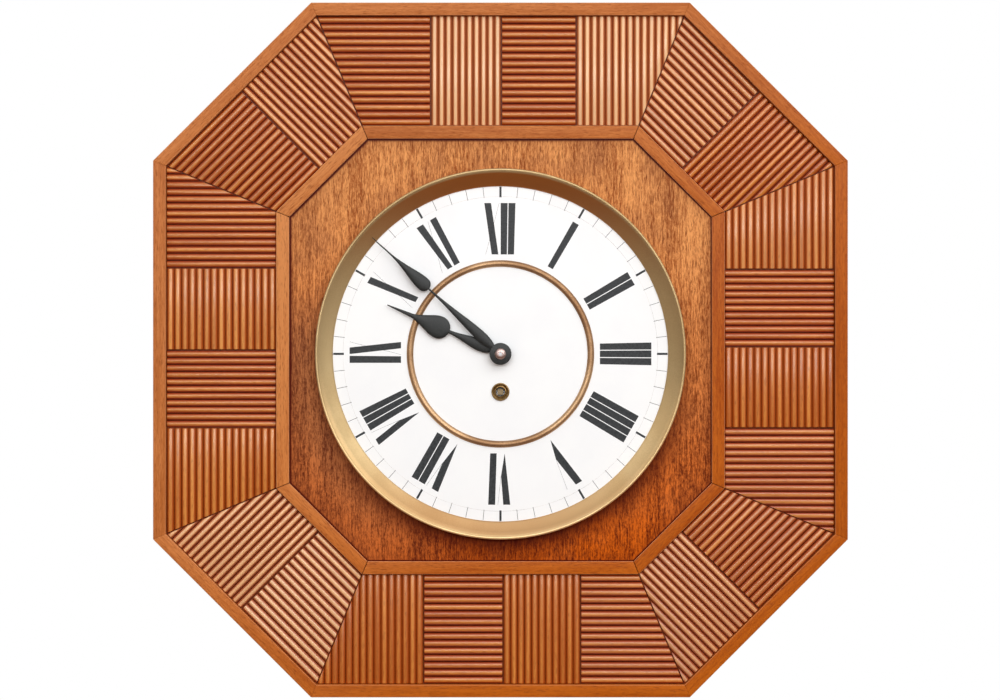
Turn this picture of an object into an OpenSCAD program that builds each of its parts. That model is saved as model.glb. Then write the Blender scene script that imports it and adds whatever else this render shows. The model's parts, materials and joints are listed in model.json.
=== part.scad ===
// Octagonal wall clock with a reeded front, a Vienna style dial and a spring driven
// movement with a short pendulum. The back lies on the wall, +Z is up and the dial
// faces -Y. Inside the modules a piece is drawn as it is seen from the front: X to the
// right, Y up, and Z is the depth measured from the wall towards the viewer.

/* [Case] */
// Length that each corner takes off a straight side
corner_cut = 138.7; // [130:0.1:150]
// Thickness of the side boards, which show at the front as the outer strip
side_board_t = 11.1; // [9:0.1:14]
// Thickness of the base board that carries the reeds, the dial and the movement
base_t = 12; // [10:0.5:14]
// How far the base board's face lies behind the face of the outer strip
face_set_back = 6.5; // [5:0.5:9]
// Thickness of the back panel
back_t = 9; // [8:0.5:11]
// Width of a glue block across its corner
block_w = 44; // [36:1:50]
// Depth of a glue block from its corner towards the middle
block_deep = 30; // [24:1:36]
// Distance of a back screw from its corner
back_screw_in = 18; // [14:0.5:20]
// How far a back screw reaches into its glue block
back_screw_reach = 20; // [15:1:24]
// Gap between the back panel and the cock that the pendulum hangs in
cock_back_gap = 6.5; // [5.5:0.5:16]

/* [Front] */
// Width of the reeded field between the two strips
field_w = 96.9; // [90:0.1:102]
// Number of reeds side by side where they run along a side
reeds_along = 15; // [11:1:19]
// Pitch of the reeds that run across the field
reed_pitch = 6.35; // [5.8:0.05:7.5]
// Gap between two neighbouring reeds
reed_gap = 0.15; // [0.1:0.05:0.4]
// Gap between two panels of reeds
joint_gap = 0.4; // [0.2:0.1:1]
// Width of the inner strip round the centre panel
strip_w = 11.4; // [9:0.1:14]
// Height of the inner strip above the base board
strip_h = 6; // [4:0.5:8]
// Gap at the mitres of the inner strip
mitre_gap = 0.1; // [0.05:0.05:0.3]
// Thickness of the veneered centre panel
centre_t = 3.5; // [2:0.5:5]
// Width of the centre panel between the bezel and the inner strip, beside the dial
panel_margin = 23.2; // [20:0.1:30]

/* [Dial] */
// Distance of the hands' arbor below the middle of the case
dial_drop = 3.4; // [0:0.1:8]
// Thickness of the metal dial plate
dial_plate_t = 1.5; // [1:0.1:2.5]
// Thickness of the enamel on the dial plate
enamel_t = 2; // [1:0.1:3]
// Radius of the enamel centre disc
centre_disc_r = 79.4; // [78:0.1:80.5]
// Radius of the round moulding over the joint of the two enamels
moulding_r = 3; // [2.4:0.1:3.2]
// How deep the round moulding is cut off below its middle
moulding_sink = 0.6; // [0.3:0.1:1.2]
// Inner radius of the bezel, which is the radius of the dial that shows
bezel_in_r = 146.6; // [140:0.1:152]
// Width of the bezel seen from the front
bezel_w = 15.8; // [14:0.1:18]
// How far the dial reaches under the bezel
bezel_lap = 4.2; // [3:0.1:5]
// Height of the bezel above the enamel
bezel_h = 11.5; // [9:0.5:14]
// Radius of the bead on the bezel's rim
bezel_bead_r = 1.3; // [1:0.1:1.8]
// Radius of a bezel stud
stud_r = 1.5; // [1:0.1:2]
// Distance of the bezel studs from the bezel's outer edge
stud_in = 5.4; // [4.5:0.1:6.5]
// Radius of the hole for the hour pipe in dial plate and enamel
dial_hole_r = 5; // [4.8:0.1:7]
// Radius of the key hole in the winding grommet
grommet_hole_r = 4; // [3.9:0.1:4.4]
// Radius of the grommet's shank
grommet_shank_r = 6.4; // [5.5:0.1:7]
// Radius of the grommet's flange
grommet_r = 7.9; // [7.5:0.1:9]
// Height of the grommet's flange above the enamel
grommet_h = 1.4; // [1:0.1:2]

/* [Hands] */
// Angle of the minute hand, clockwise from twelve
minute_angle = 312.2; // [0:0.1:360]
// Angle of the hour hand, clockwise from twelve
hour_angle = 293.4; // [0:0.1:360]
// How far the tip of the minute hand reaches past the bezel's inner edge
minute_past = 5.1; // [-5:0.1:6]
// Length of the hour hand from its arbor to its tip
hour_len = 108.1; // [100:0.1:115]
// Distance from the arbor to the middle of the minute hand's drop
minute_bulb_at = 90.7; // [86:0.1:96]
// Radius of the minute hand's drop
minute_bulb_r = 6.1; // [5:0.1:7]
// Distance from the arbor to the middle of the hour hand's drop
hour_bulb_at = 58.8; // [55:0.1:62]
// Radius of the hour hand's drop
hour_bulb_r = 9.9; // [8:0.1:11]
// Thickness of both hands' blades
blade_t = 1.0; // [0.6:0.1:1.2]
// Radius of the minute hand's round boss
minute_boss_r = 9.65; // [8.5:0.05:11]
// Radius of the hour hand's round boss
hour_boss_r = 8.8; // [8:0.1:10]
// Height of the hour hand's underside above the enamel
hour_hand_up = 3.5; // [3.2:0.1:4]
// Height of the minute hand's boss above the enamel
minute_hand_up = 6.5; // [6:0.1:7]
// Thickness of the minute hand's boss
boss_t = 2; // [1.6:0.1:2.4]
// Radius of the nut that holds the minute hand
hand_nut_r = 4.9; // [4:0.1:6]
// Height of the nut that holds the minute hand
hand_nut_h = 2.6; // [2:0.1:3.4]

/* [Movement] */
// Thickness of the two movement plates
plate_t = 2.5; // [2:0.1:3]
// Distance between the two movement plates
plate_gap = 34; // [34:0.5:36]
// Width of the movement plates
plate_w = 110; // [106:1:120]
// Distance of the plates' upper edge above the hands' arbor
plate_up = 70; // [68:1:76]
// Distance of the plates' lower edge below the hands' arbor
plate_down = 78; // [76:1:84]
// Radius of a pillar at its ends
pillar_r = 5; // [4.5:0.1:5.5]
// Radius of a pillar at its waist
pillar_waist_r = 3.4; // [3:0.1:4]
// Radius of the arbors
arbor_r = 1.2; // [1:0.05:1.2]
// Radius of the arbors' pivots
pivot_r = 0.8; // [0.6:0.05:1]
// Distance of the winding square below the hands' arbor
winding_down = 33.4; // [33:0.1:35]
// Width of the winding square
square_w = 4.8; // [4.2:0.1:5]
// Radius of the barrel's wall
barrel_r = 22; // [20:0.1:23]
// Thickness of the barrel's wall
barrel_wall = 1.2; // [1:0.1:1.6]
// Radius of the barrel arbor where it runs in the front plate
barrel_arbor_r = 3.6; // [3.6:0.05:3.9]
// Height of the mounting bars
bar_w = 12; // [11:0.5:13]
// Thickness of the mounting bars
bar_t = 3; // [2.5:0.5:4]
// How far each end of a mounting bar reaches past the opening in the base board
bar_past = 22; // [18:1:30]
// Width of the edge of the base board on which the dial lies
dial_seat = 12.8; // [10:0.1:16]

/* [Pendulum] */
// Distance from the suspension to the middle of the bob
pendulum_len = 225; // [190:1:235]
// Radius of the bob
bob_r = 28; // [22:1:34]
// Thickness of the bob
bob_t = 10; // [8:0.5:12]
// Radius of the pendulum rod
pendulum_rod_r = 1.5; // [1.2:0.1:1.8]
// Length of the suspension spring
spring_len = 10; // [8:0.5:14]
// Distance of the crutch's fork below the suspension
fork_down = 46; // [40:1:52]

/* [Hanger] */
// Distance of the key hole's round part below the top of the case
hanger_in = 60; // [55:1:75]
// Radius of the key hole's round part
hanger_r = 5; // [4:0.1:5.5]
// Radius of the key hole's slot
hanger_slot_r = 2.6; // [2:0.1:2.8]
// Height of the slot above the round part
hanger_rise = 12; // [9:0.5:14]
// Thickness of the hanger plate
hanger_t = 2; // [1.5:0.1:3]
// Depth of the recess for the screw head behind the hanger plate
hanger_recess = 4.5; // [4:0.1:4.5]

/* [Fits] */
// Radial clearance of a pivot or shaft that turns
run_fit = 0.05; // [0.02:0.01:0.1]
// Radial clearance of a piece that is seated on another
seat_fit = 0.03; // [0.02:0.01:0.1]
// Radial clearance of dial pieces and screws in their holes
loose_fit = 0.1; // [0.05:0.05:0.3]

/* [Hidden] */
$fn = 64;

// Depths of the layers, from the wall forwards. The case is as deep as the pendulum and
// the movement behind the base board need.
cock_arm_t = 2;
chop_room = 5.5;
cock_bridge_t = 4;
crutch_room = 6.5;
cock_arm_rear = back_t + cock_back_gap;
cock_bridge_rear = cock_arm_rear + cock_arm_t + chop_room;
cock_bridge_front = cock_bridge_rear + cock_bridge_t;
base_rear = cock_bridge_front + crutch_room + plate_t + plate_gap;
base_front = base_rear + base_t;
case_depth = base_front + face_set_back;
plate_face = base_front + dial_plate_t;
enamel_face = plate_face + enamel_t;
front_plate_front = base_rear + plate_t;
back_plate_front = base_rear - plate_gap;
back_plate_rear = back_plate_front - plate_t;

// The dial with its bezel, and the case round them
dial_r = bezel_in_r + bezel_lap;
bezel_out_r = bezel_in_r + bezel_w;
stud_circle_r = bezel_out_r - stud_in;
base_hole_r = dial_r - dial_seat;
minute_len = bezel_in_r + minute_past;
case_across = 2 * (bezel_out_r + panel_margin + strip_w + field_w + side_board_t);

// The octagon: its straight sides lie at half the width, its corner sides a little further
straight_apothem = case_across / 2;
corner_apothem = (case_across - corner_cut) / sqrt(2);
field_at = side_board_t;
strip_at = field_at + field_w;
centre_at = strip_at + strip_w;

function half_straight(inset) =
    (corner_apothem - inset) * sqrt(2) - (straight_apothem - inset);
function half_corner(inset) =
    (straight_apothem - inset - half_straight(inset)) / sqrt(2);
function octagon_points(inset) =
    let (a = straight_apothem - inset, e = half_straight(inset))
    [[e, a], [a, e], [a, -e], [e, -a], [-e, -a], [-a, -e], [-a, e], [-e, a]];
function straight(k) = k % 2 == 0;
function apothem(k) = straight(k) ? straight_apothem : corner_apothem;
function half_side(k, inset) = straight(k) ? half_straight(inset) : half_corner(inset);

// Joints between the panels of reeds, along each side clockwise from its middle
panel_joints = [
    [-61.5, 0.9, 66.5], [0], [-71, -2.6, 68.5], [0],
    [-70.5, -2.2, 67.5], [0], [-68.5, 0, 72], [0]
];

// Gear train: [teeth, module] of each wheel and pinion
great_teeth = 78;
second_pinion_teeth = 12;
second_teeth = 72;
centre_pinion_teeth = 12;
centre_teeth = 84;
third_pinion_teeth = 8;
third_teeth = 80;
escape_pinion_teeth = 8;
escape_teeth = 36;
cannon_teeth = 14;
minute_teeth = 42;
minute_pinion_teeth = 12;
hour_teeth = 48;
great_module = 0.7;
second_module = 0.6;
centre_module = 0.5;
third_module = 0.45;
cannon_module = 0.6;
hour_module = cannon_module * (cannon_teeth + minute_teeth)
    / (minute_pinion_teeth + hour_teeth);
escape_r = 15;

// Where the arbors stand, seen from the front, from the hands' arbor
function meshed(na, nb, m) = (na + nb) * m / 2;
function polar(r, a) = [r * cos(a), r * sin(a)];
barrel_to_second = meshed(great_teeth, second_pinion_teeth, great_module);
second_to_centre = meshed(second_teeth, centre_pinion_teeth, second_module);
centre_to_third = meshed(centre_teeth, third_pinion_teeth, centre_module);
third_to_escape = meshed(third_teeth, escape_pinion_teeth, third_module);
centre_to_minute = meshed(cannon_teeth, minute_teeth, cannon_module);
third_angle = 132.4;
minute_wheel_angle = 45;
barrel_at = [0, -winding_down];
second_angle = acos((pow(barrel_to_second, 2) + pow(winding_down, 2)
    - pow(second_to_centre, 2)) / (2 * barrel_to_second * winding_down));
second_at = barrel_at + barrel_to_second * [sin(second_angle), cos(second_angle)];
third_at = polar(centre_to_third, third_angle);
escape_at = [0, third_at.y + sqrt(pow(third_to_escape, 2) - pow(third_at.x, 2))];
pallet_at = escape_at + [0, escape_r * sqrt(2)];
minute_wheel_at = polar(centre_to_minute, minute_wheel_angle);

// Angle of the line from one arbor to another, and the turn that puts a gap of the
// second gear where a tooth of the first one stands
function heading(a, b) = atan2(b.y - a.y, b.x - a.x);
function phase(a, na, turn_a, b, nb) =
    heading(a, b) + 180 - (0.5 - na * (heading(a, b) - turn_a) / 360) * 360 / nb;
centre_at_xy = [0, 0];
second_turn = phase(centre_at_xy, centre_pinion_teeth, 0, second_at, second_teeth);
great_turn = phase(second_at, second_pinion_teeth, 0, barrel_at, great_teeth);
third_turn = phase(centre_at_xy, centre_teeth, 0, third_at, third_pinion_teeth);
escape_turn = phase(third_at, third_teeth, 0, escape_at, escape_pinion_teeth);
minute_turn = phase(centre_at_xy, cannon_teeth, 0, minute_wheel_at, minute_teeth);
hour_turn = phase(minute_wheel_at, minute_pinion_teeth, 0, centre_at_xy, hour_teeth);

// Depths inside the movement, from its front plate's inner face backwards
centre_wheel_back = 1;
centre_wheel_t = 1.2;
third_wheel_back = 20;
third_wheel_t = 1.5;
escape_wheel_back = 28;
escape_wheel_t = 1.2;
second_wheel_back = 28;
second_wheel_t = 1.5;
great_wheel_back = 23;
great_wheel_t = 2.5;
pinion_over = 1;
barrel_front = 3;
cap_t = 1.5;
spring_gap = 0.6;
end_shake = 0.3;

// Depths of the motion work, from the front plate's face forwards
cannon_up = 1;
cannon_t = 2;
minute_wheel_up = 1.2;
minute_wheel_t = 1.5;
hour_wheel_up = 5;
hour_wheel_t = 1.5;
ratchet_up = 0.5;
ratchet_t = 2;
ratchet_teeth = 24;
ratchet_r = 11;
centre_shaft_r = 1.6;
cannon_pipe_r = 2.9;
hour_pipe_r = 3.9;
click_pivot_r = 1.5;
wheel_stud_r = 1.5;

// The cock that carries the pallet arbor's rear pivot and the pendulum
cock_w = 42;
cock_leg_w = 9;
cock_down = 5;
cock_up = 7;
arm_w = 10;
pin_r = 1;
blind = 1.6;
chop_w = 3;
chop_h = 5;
rod_depth = (cock_arm_rear + cock_arm_t + cock_bridge_rear) / 2;
pallet_hole_r = 5;
crutch_t = 1.5;
crutch_rear = cock_bridge_front + 2;

function teeth_points(n, m, thick, rise, fall, tip) =
    [for (i = [0:n - 1])
        for (s = [[-1, -fall, 1], [-1, 0, 1], [-1, rise, tip],
                  [1, rise, tip], [1, 0, 1], [1, -fall, 1]])
            polar(m * (n / 2 + s[1]), 360 * i / n + s[0] * s[2] * thick * 90 / n)];
function bezier(a, b, c, d, n) =
    [for (i = [0:n]) let (t = i / n, u = 1 - t)
        u * u * u * a + 3 * u * u * t * b + 3 * u * t * t * c + t * t * t * d];
function arc_points(c, r, from, to, n) =
    [for (i = [0:n]) c + polar(r, from + (to - from) * i / n)];
function mirrored(right) =
    concat(right, [for (i = [len(right) - 1:-1:0]) [-right[i].x, right[i].y]]);

// Turns a front view drawing so that its depth points away from the wall
module front() {
    rotate([90, 0, 0]) children();
}

// The same, with its middle on the hands' arbor
module on_dial() {
    front() translate([0, -dial_drop, 0]) children();
}

// A flat piece from one depth to another
module slab(from, to) {
    translate([0, 0, from]) linear_extrude(to - from) children();
}

// A round rod or a turned disc from one depth to another
module rod(r, from, to) {
    translate([0, 0, from]) cylinder(r = r, h = to - from);
}

module at(p) {
    translate([p.x, p.y, 0]) children();
}

module octagon(inset) {
    polygon(octagon_points(inset));
}

// The frame of side k: X runs clockwise along the side, Y outwards, zero on its edge
module on_side(k) {
    rotate([0, 0, -45 * k]) translate([0, apothem(k), 0]) children();
}

// A strip along side k whose ends are mitred, in the frame of that side
module mitred_strip(k, near, far, gap) {
    a = half_side(k, near) - gap / 2;
    b = half_side(k, far) - gap / 2;
    polygon([[-a, -near], [a, -near], [b, -far], [-b, -far]]);
}

module rounded_plate(w, low, high, r) {
    translate([-w / 2 + r, low]) square([w - 2 * r, high - low]);
    translate([-w / 2, low + r]) square([w, high - low - 2 * r]);
    for (x = [-1, 1], y = [low + r, high - r]) translate([x * (w / 2 - r), y]) circle(r);
}

// A screw whose head lies on one depth and whose shank ends at another
module screw(shank_r, head_r, head_h, head_at, tip_at) {
    way = tip_at > head_at ? 1 : -1;
    difference() {
        translate([0, 0, way > 0 ? head_at - head_h : head_at])
            cylinder(r = head_r, h = head_h, $fn = 32);
        translate([-head_r, -0.4, head_at - way * head_h - head_h / 3])
            cube([2 * head_r, 0.8, head_h * 2 / 3]);
    }
    translate([0, 0, min(head_at, tip_at)])
        cylinder(r = shank_r, h = abs(tip_at - head_at), $fn = 32);
}

module side_boards(first) {
    color("#b0652f") front() for (k = [first:2:7]) on_side(k)
        slab(0, case_depth) mitred_strip(k, 0, side_board_t, 0);
}

module case_sides_straight() {
    side_boards(0);
}

module case_sides_corner() {
    side_boards(1);
}

// One panel between two joints of side k. A side's first and last panels end in a mitre
module panel_outline(k, from, to, first, last) {
    near = field_at + joint_gap / 2;
    far = strip_at - joint_gap / 2;
    left = first ? [-half_side(k, near) + joint_gap / 2, -half_side(k, far) + joint_gap / 2]
        : [from + joint_gap / 2, from + joint_gap / 2];
    right = last ? [half_side(k, near) - joint_gap / 2, half_side(k, far) - joint_gap / 2]
        : [to - joint_gap / 2, to - joint_gap / 2];
    polygon([[left[0], -near], [right[0], -near], [right[1], -far], [left[1], -far]]);
}

// Half round reeds, cut to the panel's outline. They run along the side in every
// second panel and across it in the others
module reed_panel(k, j) {
    ends = concat([-half_side(k, field_at)], panel_joints[k], [half_side(k, field_at)]);
    from = ends[j];
    to = ends[j + 1];
    along = j % 2 == 0;
    span = along ? field_w - joint_gap : to - from - joint_gap;
    count = along ? reeds_along : round(span / reed_pitch);
    pitch = span / count;
    r = (pitch - reed_gap) / 2;
    intersection() {
        slab(base_front, base_front + r + 1)
            panel_outline(k, from, to, j == 0, j == len(ends) - 2);
        for (i = [0:count - 1]) {
            if (along)
                translate([from, -field_at - joint_gap / 2 - (i + 0.5) * pitch, base_front])
                    rotate([0, 90, 0]) cylinder(r = r, h = to - from, $fn = 24);
            else
                translate([from + joint_gap / 2 + (i + 0.5) * pitch, -strip_at, base_front])
                    rotate([-90, 0, 0]) cylinder(r = r, h = field_w, $fn = 24);
        }
    }
}

module reeds(k) {
    color("#a85a34") front() on_side(k)
        for (j = [0:len(panel_joints[k])]) reed_panel(k, j);
}

module reeds_top() {
    reeds(0);
}

module reeds_top_right() {
    reeds(1);
}

module reeds_right() {
    reeds(2);
}

module reeds_bottom_right() {
    reeds(3);
}

module reeds_bottom() {
    reeds(4);
}

module reeds_bottom_left() {
    reeds(5);
}

module reeds_left() {
    reeds(6);
}

module reeds_top_left() {
    reeds(7);
}

// Eight mitred strips that stand proud of the centre panel
module inner_frame() {
    color("#b5673a") front() for (k = [0:7]) on_side(k)
        slab(base_front, base_front + strip_h) mitred_strip(k, strip_at, centre_at, mitre_gap);
}

module stud_holes(r) {
    for (a = [45:90:315]) rotate(a) translate([stud_circle_r, 0]) circle(r, $fn = 32);
}

bar_z = [plate_up - bar_w / 2, -plate_down + bar_w / 2];
bar_len = 2 * (sqrt(pow(base_hole_r, 2) - pow(bar_z[0], 2)) + bar_past);
bar_screw_x = bar_len / 2 - bar_w / 2;
bar_screw_r = 1.6;

module base_board() {
    color("#8a4a26") front() slab(base_rear, base_front) difference() {
        octagon(side_board_t);
        translate([0, -dial_drop]) {
            circle(base_hole_r, $fn = 128);
            stud_holes(stud_r + loose_fit);
        }
    }
}

module centre_panel() {
    color("#b56a3c") front() slab(base_front, base_front + centre_t) difference() {
        octagon(centre_at);
        translate([0, -dial_drop]) {
            circle(dial_r + loose_fit, $fn = 128);
            stud_holes(stud_r + loose_fit);
        }
    }
}

// Where the back screws stand, on the lines from the corners to the middle
corner_points = octagon_points(side_board_t);
function towards_middle(p, by) = p * (1 - by / norm(p));
back_screw_r = 1.75;
back_screw_head_r = 3.5;
back_screw_head_h = 2.2;
hanger_w = 30;
hanger_margin = 16;
hanger_up = straight_apothem - hanger_in;
hanger_top = hanger_up + hanger_rise + hanger_margin;
hanger_bottom = hanger_up - hanger_margin;
hanger_screws = [hanger_top - 6, hanger_bottom + 6];
hanger_screw_r = 1.3;
hanger_head_r = 2.6;

module key_hole(r_round, r_slot) {
    translate([0, hanger_up]) circle(r_round);
    translate([0, hanger_up + hanger_rise]) circle(r_slot);
    translate([-r_slot, hanger_up]) square([2 * r_slot, hanger_rise]);
}

module back_panel() {
    head_room_r = hanger_r + 0.8;
    color("#6e4a2e") front() difference() {
        slab(0, back_t) octagon(side_board_t);
        slab(-1, hanger_t) translate([-hanger_w / 2, hanger_bottom])
            square([hanger_w, hanger_top - hanger_bottom]);
        slab(-1, hanger_t + hanger_recess) key_hole(head_room_r, head_room_r);
        for (y = hanger_screws) translate([0, y, 0])
            rod(hanger_screw_r + loose_fit, -1, back_t - 1.5, $fn = 32);
        for (p = corner_points) at(towards_middle(p, back_screw_in)) {
            rod(back_screw_r + loose_fit, -1, back_t + 1);
            rod(back_screw_head_r + loose_fit, -1, back_screw_head_h);
        }
    }
}

// Steel plate with the key hole that hangs on the wall screw
module hanger_plate() {
    color("#b9a15a") front() difference() {
        slab(0, hanger_t) translate([-hanger_w / 2 + seat_fit, hanger_bottom + seat_fit])
            square([hanger_w - 2 * seat_fit, hanger_top - hanger_bottom - 2 * seat_fit]);
        slab(-1, hanger_t + 1) key_hole(hanger_r, hanger_slot_r);
        for (y = hanger_screws) translate([0, y, 0]) {
            rod(hanger_screw_r + loose_fit, -1, hanger_t + 1);
            rod(hanger_head_r + loose_fit, -1, hanger_t / 2);
        }
    }
}

module corner_blocks() {
    color("#9c7248") front() difference() {
        for (p = corner_points) slab(back_t, base_rear) intersection() {
            octagon(side_board_t + seat_fit);
            translate(p) rotate(atan2(p.y, p.x)) translate([-block_deep, -block_w / 2])
                square([2 * block_deep, block_w]);
        }
        for (p = corner_points) at(towards_middle(p, back_screw_in))
            rod(back_screw_r + loose_fit, back_t - 1, back_t + back_screw_reach + 1, $fn = 32);
    }
}

module back_screws() {
    color("#8f8a80") front() {
        for (p = corner_points) at(towards_middle(p, back_screw_in))
            screw(back_screw_r, back_screw_head_r, back_screw_head_h,
                back_screw_head_h, back_t + back_screw_reach);
        for (y = hanger_screws) translate([0, y, 0])
            screw(hanger_screw_r, hanger_head_r, hanger_t / 2, hanger_t / 2, back_t - 2);
    }
}

module dial_plate() {
    color("#a98d55") on_dial() slab(base_front, plate_face) difference() {
        circle(dial_r, $fn = 128);
        circle(dial_hole_r);
        translate(barrel_at) circle(grommet_shank_r + loose_fit);
    }
}

module chapter_ring() {
    color("#fbfaf6") on_dial() slab(plate_face, enamel_face) difference() {
        circle(dial_r, $fn = 128);
        circle(centre_disc_r + loose_fit, $fn = 128);
    }
}

module centre_disc() {
    color("#fbfaf6") on_dial() slab(plate_face, enamel_face) difference() {
        circle(centre_disc_r, $fn = 128);
        circle(dial_hole_r);
        translate(barrel_at) circle(grommet_shank_r + loose_fit);
    }
}

// Round brass moulding over the joint between the two enamels
module dial_ring() {
    color("#a9743c") on_dial() translate([0, 0, enamel_face])
        rotate_extrude($fn = 128) difference() {
            translate([centre_disc_r + loose_fit / 2, -moulding_sink]) circle(moulding_r);
            translate([centre_disc_r - 2 * moulding_r, -3 * moulding_r])
                square([4 * moulding_r, 3 * moulding_r]);
        }
}

// Half section of the bezel: outer wall, bead on the rim, hollow slope, thin inner edge
function bezel_points() =
    let (top = bezel_h - bezel_bead_r, bead = bezel_out_r - bezel_bead_r,
         foot = [bezel_in_r + 0.5, 1.4],
         shoulder = [bezel_out_r - 2 * bezel_bead_r, top - 0.8])
    concat([[bezel_in_r, 0], [bezel_out_r, 0]],
        arc_points([bead, top], bezel_bead_r, 0, 180, 8),
        bezier(shoulder, shoulder + [-3.4, -4.1], foot + [4.4, 2.4], foot, 8),
        [[bezel_in_r, 0.8]]);

module bezel() {
    color("#b98d4e") on_dial() {
        translate([0, 0, enamel_face]) rotate_extrude($fn = 128) polygon(bezel_points());
        for (a = [45:90:315]) rotate([0, 0, a]) translate([stud_circle_r, 0, 0])
            rod(stud_r, base_rear - 5, enamel_face + 1, $fn = 32);
    }
}

module bezel_nuts() {
    color("#b3985e") on_dial() for (a = [45:90:315]) rotate([0, 0, a])
        translate([stud_circle_r, 0, 0]) difference() {
            slab(base_rear - 3, base_rear) circle(4, $fn = 6);
            rod(stud_r + seat_fit, base_rear - 4, base_rear + 1, $fn = 32);
        }
}

// Brass grommet with a dished face round the key hole
module winding_grommet() {
    low = base_front - enamel_face;
    color("#b08d50") on_dial() at(barrel_at) translate([0, 0, enamel_face])
        rotate_extrude() polygon([
            [grommet_hole_r, low], [grommet_shank_r, low], [grommet_shank_r, 0],
            [grommet_r, 0], [grommet_r, 0.5], [grommet_r - 0.35, grommet_h - 0.2],
            [grommet_r - 0.8, grommet_h], [grommet_r - 1.2, grommet_h - 0.2],
            [grommet_hole_r + 1.4, 0.35], [grommet_hole_r + 1.1, 0.7],
            [grommet_hole_r + 0.5, 0.75], [grommet_hole_r, 0.2]
        ]);
}

// Outline of a pear hand's blade from its boss: a shaft that swells and thins to a neck,
// then a drop whose sides run hollow into a long thin point
function pear_hand(root, belly, belly_at, neck, bulb_at, bulb_r, blade, blade_at, tip) =
    let (neck_at = bulb_at - bulb_r + 0.4)
    mirrored(concat(
        [[root, 2]],
        bezier([root, 8.5], [belly * 0.9, belly_at * 0.6], [belly, belly_at * 0.8],
            [belly, belly_at], 5),
        bezier([belly, belly_at], [belly, belly_at + (neck_at - belly_at) * 0.28],
            [neck * 1.3, belly_at + (neck_at - belly_at) * 0.57], [neck, neck_at], 8),
        bezier([bulb_r, bulb_at + 0.8], [bulb_r, bulb_at + (blade_at - bulb_at) * 0.28],
            [blade * 2.4, bulb_at + (blade_at - bulb_at) * 0.55], [blade, blade_at], 8),
        [tip]));

module minute_blade() {
    polygon(pear_hand(2, 4.6, 23, 0.8, minute_bulb_at, minute_bulb_r, 0.75,
        minute_bulb_at + 38, [0.3, minute_len]));
    translate([0, minute_bulb_at]) circle(minute_bulb_r);
}

module hour_blade() {
    polygon(pear_hand(2.4, 5.3, 20, 1.5, hour_bulb_at, hour_bulb_r, 1.9,
        hour_bulb_at + 25, [0.45, hour_len]));
    translate([0, hour_bulb_at]) circle(hour_bulb_r);
}

minute_low = enamel_face + minute_hand_up;
hour_low = enamel_face + hour_hand_up;

module minute_hand() {
    color("#2b2a2c") on_dial() rotate([0, 0, -minute_angle]) difference() {
        union() {
            slab(minute_low + (boss_t - blade_t) / 2, minute_low + (boss_t + blade_t) / 2)
                minute_blade();
            rod(minute_boss_r, minute_low, minute_low + boss_t);
        }
        rod(cannon_pipe_r + seat_fit, minute_low - 1, minute_low + boss_t + 1);
    }
}

module hour_hand() {
    color("#2b2a2c") on_dial() rotate([0, 0, -hour_angle]) difference() {
        union() {
            slab(hour_low, hour_low + blade_t) hour_blade();
            rod(hour_boss_r, hour_low, hour_low + blade_t + 0.3);
        }
        rod(hour_pipe_r + seat_fit, hour_low - 1, hour_low + blade_t + 2);
    }
}

nut_low = minute_low + boss_t;

module hand_nut() {
    color("#c9c3bd") on_dial() translate([0, 0, nut_low]) rotate_extrude() polygon(concat(
        [[centre_shaft_r + seat_fit, 0], [hand_nut_r, 0]],
        bezier([hand_nut_r, hand_nut_h * 0.35], [hand_nut_r * 0.95, hand_nut_h * 0.8],
            [hand_nut_r * 0.7, hand_nut_h], [centre_shaft_r + seat_fit, hand_nut_h], 6)));
}

// Movement plates and what joins them
pillar_xy = [[44, 50], [-44, 50], [44, -60], [-44, -60]];
plate_screw_r = 1.5;

module pivot_holes(points, r) {
    for (p = points) translate(p) circle(r, $fn = 32);
}

module front_plate() {
    stud_top = front_plate_front + hour_wheel_up + 3;
    color("#c2a050") on_dial() {
        slab(base_rear, front_plate_front) difference() {
            rounded_plate(plate_w, -plate_down, plate_up, 6);
            pivot_holes([second_at, third_at, escape_at, pallet_at], pivot_r + run_fit);
            circle(centre_shaft_r + run_fit);
            translate(barrel_at) circle(barrel_arbor_r + run_fit);
            pivot_holes(pillar_xy, plate_screw_r + loose_fit);
            for (x = [-30, 30], y = bar_z) translate([x, y])
                circle(bar_screw_r + loose_fit, $fn = 32);
            translate(click_at) circle(click_pivot_r + loose_fit, $fn = 32);
        }
        at(minute_wheel_at) rod(wheel_stud_r, front_plate_front - 1, stud_top);
    }
}

rear_pivot_r = 2.5;

module back_plate() {
    color("#c2a050") on_dial() slab(back_plate_rear, back_plate_front) difference() {
        rounded_plate(plate_w, -plate_down, plate_up, 6);
        pivot_holes([second_at, third_at, escape_at, centre_at_xy], pivot_r + run_fit);
        translate(barrel_at) circle(rear_pivot_r + run_fit);
        translate(pallet_at) circle(pallet_hole_r);
        pivot_holes(pillar_xy, plate_screw_r + loose_fit);
        for (x = [-1, 1]) translate(pallet_at + [x * (cock_w - cock_leg_w) / 2, 1])
            circle(plate_screw_r + loose_fit, $fn = 32);
    }
}

module pillars() {
    len = plate_gap;
    color("#c9a95c") on_dial() for (p = pillar_xy) at(p) difference() {
        translate([0, 0, back_plate_front]) rotate_extrude($fn = 48) polygon([
            [0, 0], [pillar_r, 0], [pillar_r, 4], [pillar_waist_r, 7],
            [pillar_waist_r, len - 7], [pillar_r, len - 4], [pillar_r, len], [0, len]
        ]);
        rod(plate_screw_r + seat_fit, back_plate_front - 1, back_plate_front + 7, $fn = 32);
        rod(plate_screw_r + seat_fit, base_rear - 7, base_rear + 1, $fn = 32);
    }
}

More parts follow.
